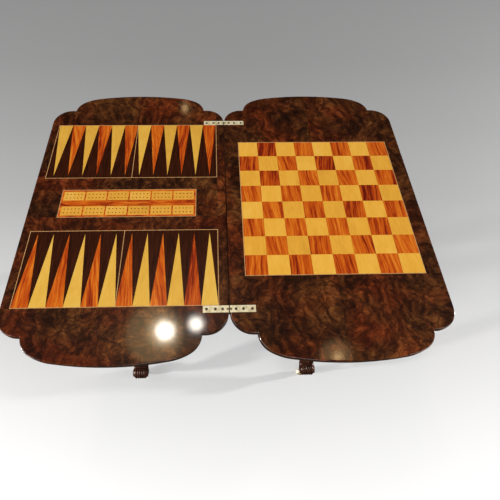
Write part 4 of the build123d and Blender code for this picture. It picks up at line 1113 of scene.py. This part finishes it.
def leaf_grid(i, j, carved_side):
    """Points of one carved leaf on the leg's upper surface. Its u runs from root to tip and v from
    side to side; the side that is not carved lies sunk in the leg."""
    rows = []
    for u in spread(0.0, 1.0, 90):
        lobes = 1 - lobe_depth * (1 - abs(sin(lobes_a_side * pi * (u ** 0.9))))
        width = leaf_half_width * (1 - leaf_taper * u) * lobes * sqrt(max(0.0, 1 - u ** 9))
        y = j * (leaf_root + (leaf_tip - leaf_root) * u)
        row = []
        for v in spread(-1.0, 1.0, 30):
            x = i * support_x + v * max(width, 1e-5)
            above = Vector((x, y, legs_high.z + 0.05))
            hit, normal = leg_surface.ray_cast(above, straight_down)[:2]
            rib = rib_height * exp(-((v / rib_width) ** 2))
            vein = vein_height * cos(tau * (veins_a_side * u - vein_lean * abs(v))) * (1 - v * v)
            body = (1 - abs(v) ** 2.6) * (0.70 + 0.30 * sin(pi * min(1.0, u * 1.1)))
            curl_share = max(0.0, (u - curl_starts) / (1 - curl_starts))
            curl = curl_height * curl_share ** 2 * (1 - v * v)
            lift = leaf_relief * (body + rib * (1 - u * 0.5) + vein + curl) - leaf_sunk
            row.append(hit + normal * (lift if carved_side else -leaf_back))
        rows.append(row)
    return rows


for i, j in leg_places:
    leaf_name = "knee_leaf_{}_{}".format("right" if i > 0 else "left", "back" if j > 0 else "front")
    knee_leaf = closed_shell(leaf_name, leaf_grid(i, j, True), leaf_grid(i, j, False), carved)
    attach(knee_leaf, "frame")

# Carved toes
# Each leg ends in a scroll. Five reeds run over its front, and a spiral bead is cut on each of its
# cheeks.
toe_radius = legs_high.y - toe_y
toe_z = plate_high.z + toe_radius
toe_half_width = legs_high.x - support_x
reed_shares = (-0.62, -0.31, 0.0, 0.31, 0.62)
reed_starts, reed_sweep = radians(-62), radians(176)
toe_reed_radius, reed_sunk = 0.0032, 0.0009
volute_turns, volute_eye, volute_margin, volute_bead_radius = 2.1, 0.0018, 0.0045, 0.0014
across_the_toe = (pi / 2, 0.0, pi / 2)
facing = {1: unturned, -1: (0.0, 0.0, pi)}


def reed_shape(tree, source):
    sockets = {
        "Resolution": 28,
        "Radius": source["Toe radius"],
        "Start Angle": reed_starts,
        "Sweep Angle": reed_sweep,
    }
    arc = tree_step(tree, "CurveArc", sockets)
    return swept(tree, arc, source["Bead radius"], across_the_toe)


def volute_shape(tree, source):
    sockets = {
        "Resolution": 32,
        "Rotations": volute_turns,
        "Start Radius": source["Inner radius"],
        "End Radius": source["Outer radius"],
        "Height": 0.0,
    }
    spiral = tree_step(tree, "CurveSpiral", sockets)
    return swept(tree, spiral, source["Bead radius"], across_the_toe)


def on_the_toes(name, shares, sizes, make_shape):
    """Copies of one carving on every toe, at shares of its half width, facing outward."""
    places = [
        (i * support_x + share * toe_half_width, j * toe_y, toe_z)
        for i, j in leg_places
        for share in shares
    ]
    turns = [facing[j] for i, j in leg_places for share in shares]
    return repeated(name, places, turns, sizes, make_shape, carved)


reed_sizes = {"Toe radius": toe_radius - reed_sunk, "Bead radius": toe_reed_radius}
toe_reeds = on_the_toes("toe_reeds", reed_shares, reed_sizes, reed_shape)
volute_sizes = {
    "Inner radius": volute_eye,
    "Outer radius": toe_radius - volute_margin,
    "Bead radius": volute_bead_radius,
}
toe_volutes = on_the_toes("toe_volutes", (1, -1), volute_sizes, volute_shape)
for piece in (toe_reeds, toe_volutes):
    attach(piece, "frame")

# Roundels on the trestles
# A boss turned with a rim and a round middle, and carved with twelve petals between them, is glued
# to each outer face of the trestles.
roundel_radius = 0.021
roundel_z = (trestles_low.z + trestles_high.z) / 2
roundel_sunk, roundel_base = 0.0015, 0.0012
rim_at, rim_width, rim_height = 0.94, 0.055, 0.0036
middle_share, middle_height = 0.26, 0.0058
petals, petal_length, petal_height = 12, 0.60, 0.0040


def roundel_height(ring, angle):
    """The height of the carving at a share of the radius, over the face of the trestle."""
    if ring == 1.0:
        return 0.0
    rim = rim_height * exp(-(((ring - rim_at) / rim_width) ** 2))
    boss = middle_height * sqrt(max(0.0, 1 - (ring / middle_share) ** 2))
    along_petal = min(1.0, max(0.0, (ring - middle_share) / petal_length))
    across_petal = abs(cos(petals * angle / 2)) ** 0.7
    petal = petal_height * sin(pi * along_petal) * (0.25 + 0.75 * across_petal)
    return roundel_base + max(rim, boss, petal)


def roundel_rows(side, raised):
    rows = []
    for ring in spread(0.0, 1.0, 40):
        row = []
        for angle in spread(0.0, tau, 120):
            proud = roundel_height(ring, angle) if raised else -roundel_sunk
            y = roundel_radius * ring * cos(angle)
            z = roundel_z + roundel_radius * ring * sin(angle)
            row.append((side * (trestles_high.x + proud), y, z))
        rows.append(row)
    return rows


for side, word in ((1, "right"), (-1, "left")):
    roundel = closed_shell(
        "roundel_" + word, roundel_rows(side, True), roundel_rows(side, False), carved
    )
    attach(roundel, "frame")

# Castors
# A brass plate is screwed below each toe, and a brass fork turns in it on its pintle. The wheels
# are of white glazed porcelain, a little crazed and stained.
castor_names = ("front_right", "front_left", "back_right", "back_left")
castor_brass = metal("castor_brass", (0.46, 0.34, 0.16), (0.17, 0.11, 0.05), roughness=0.36)
coat_node(castor_brass, "castor_plates", *["castor_fork_" + name for name in castor_names])
glaze = Finish("porcelain_glaze", {"Roughness": 0.35, "Coat Weight": 1.0, "Coat Roughness": 0.06})
stain = glaze.noise(glaze.place, scale=120.0, detail=4.0, roughness=0.65)
glaze_colour = glaze.ramp(stain, (0.36, (0.40, 0.31, 0.20)), (0.58, (0.70, 0.64, 0.53)))
crazing = glaze.add("TexVoronoi", {"Vector": glaze.place, "Scale": 380.0}, feature="DISTANCE_TO_EDGE")
crack = glaze.level(crazing.outputs[0], 0.03, 0.0, to_low=0.0, to_high=0.35)
glaze.paint(glaze.mix(crack, glaze_colour, (0.25, 0.17, 0.10, 1.0)))
coat_node(glaze.material, *["castor_wheel_" + name for name in castor_names])

low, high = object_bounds()
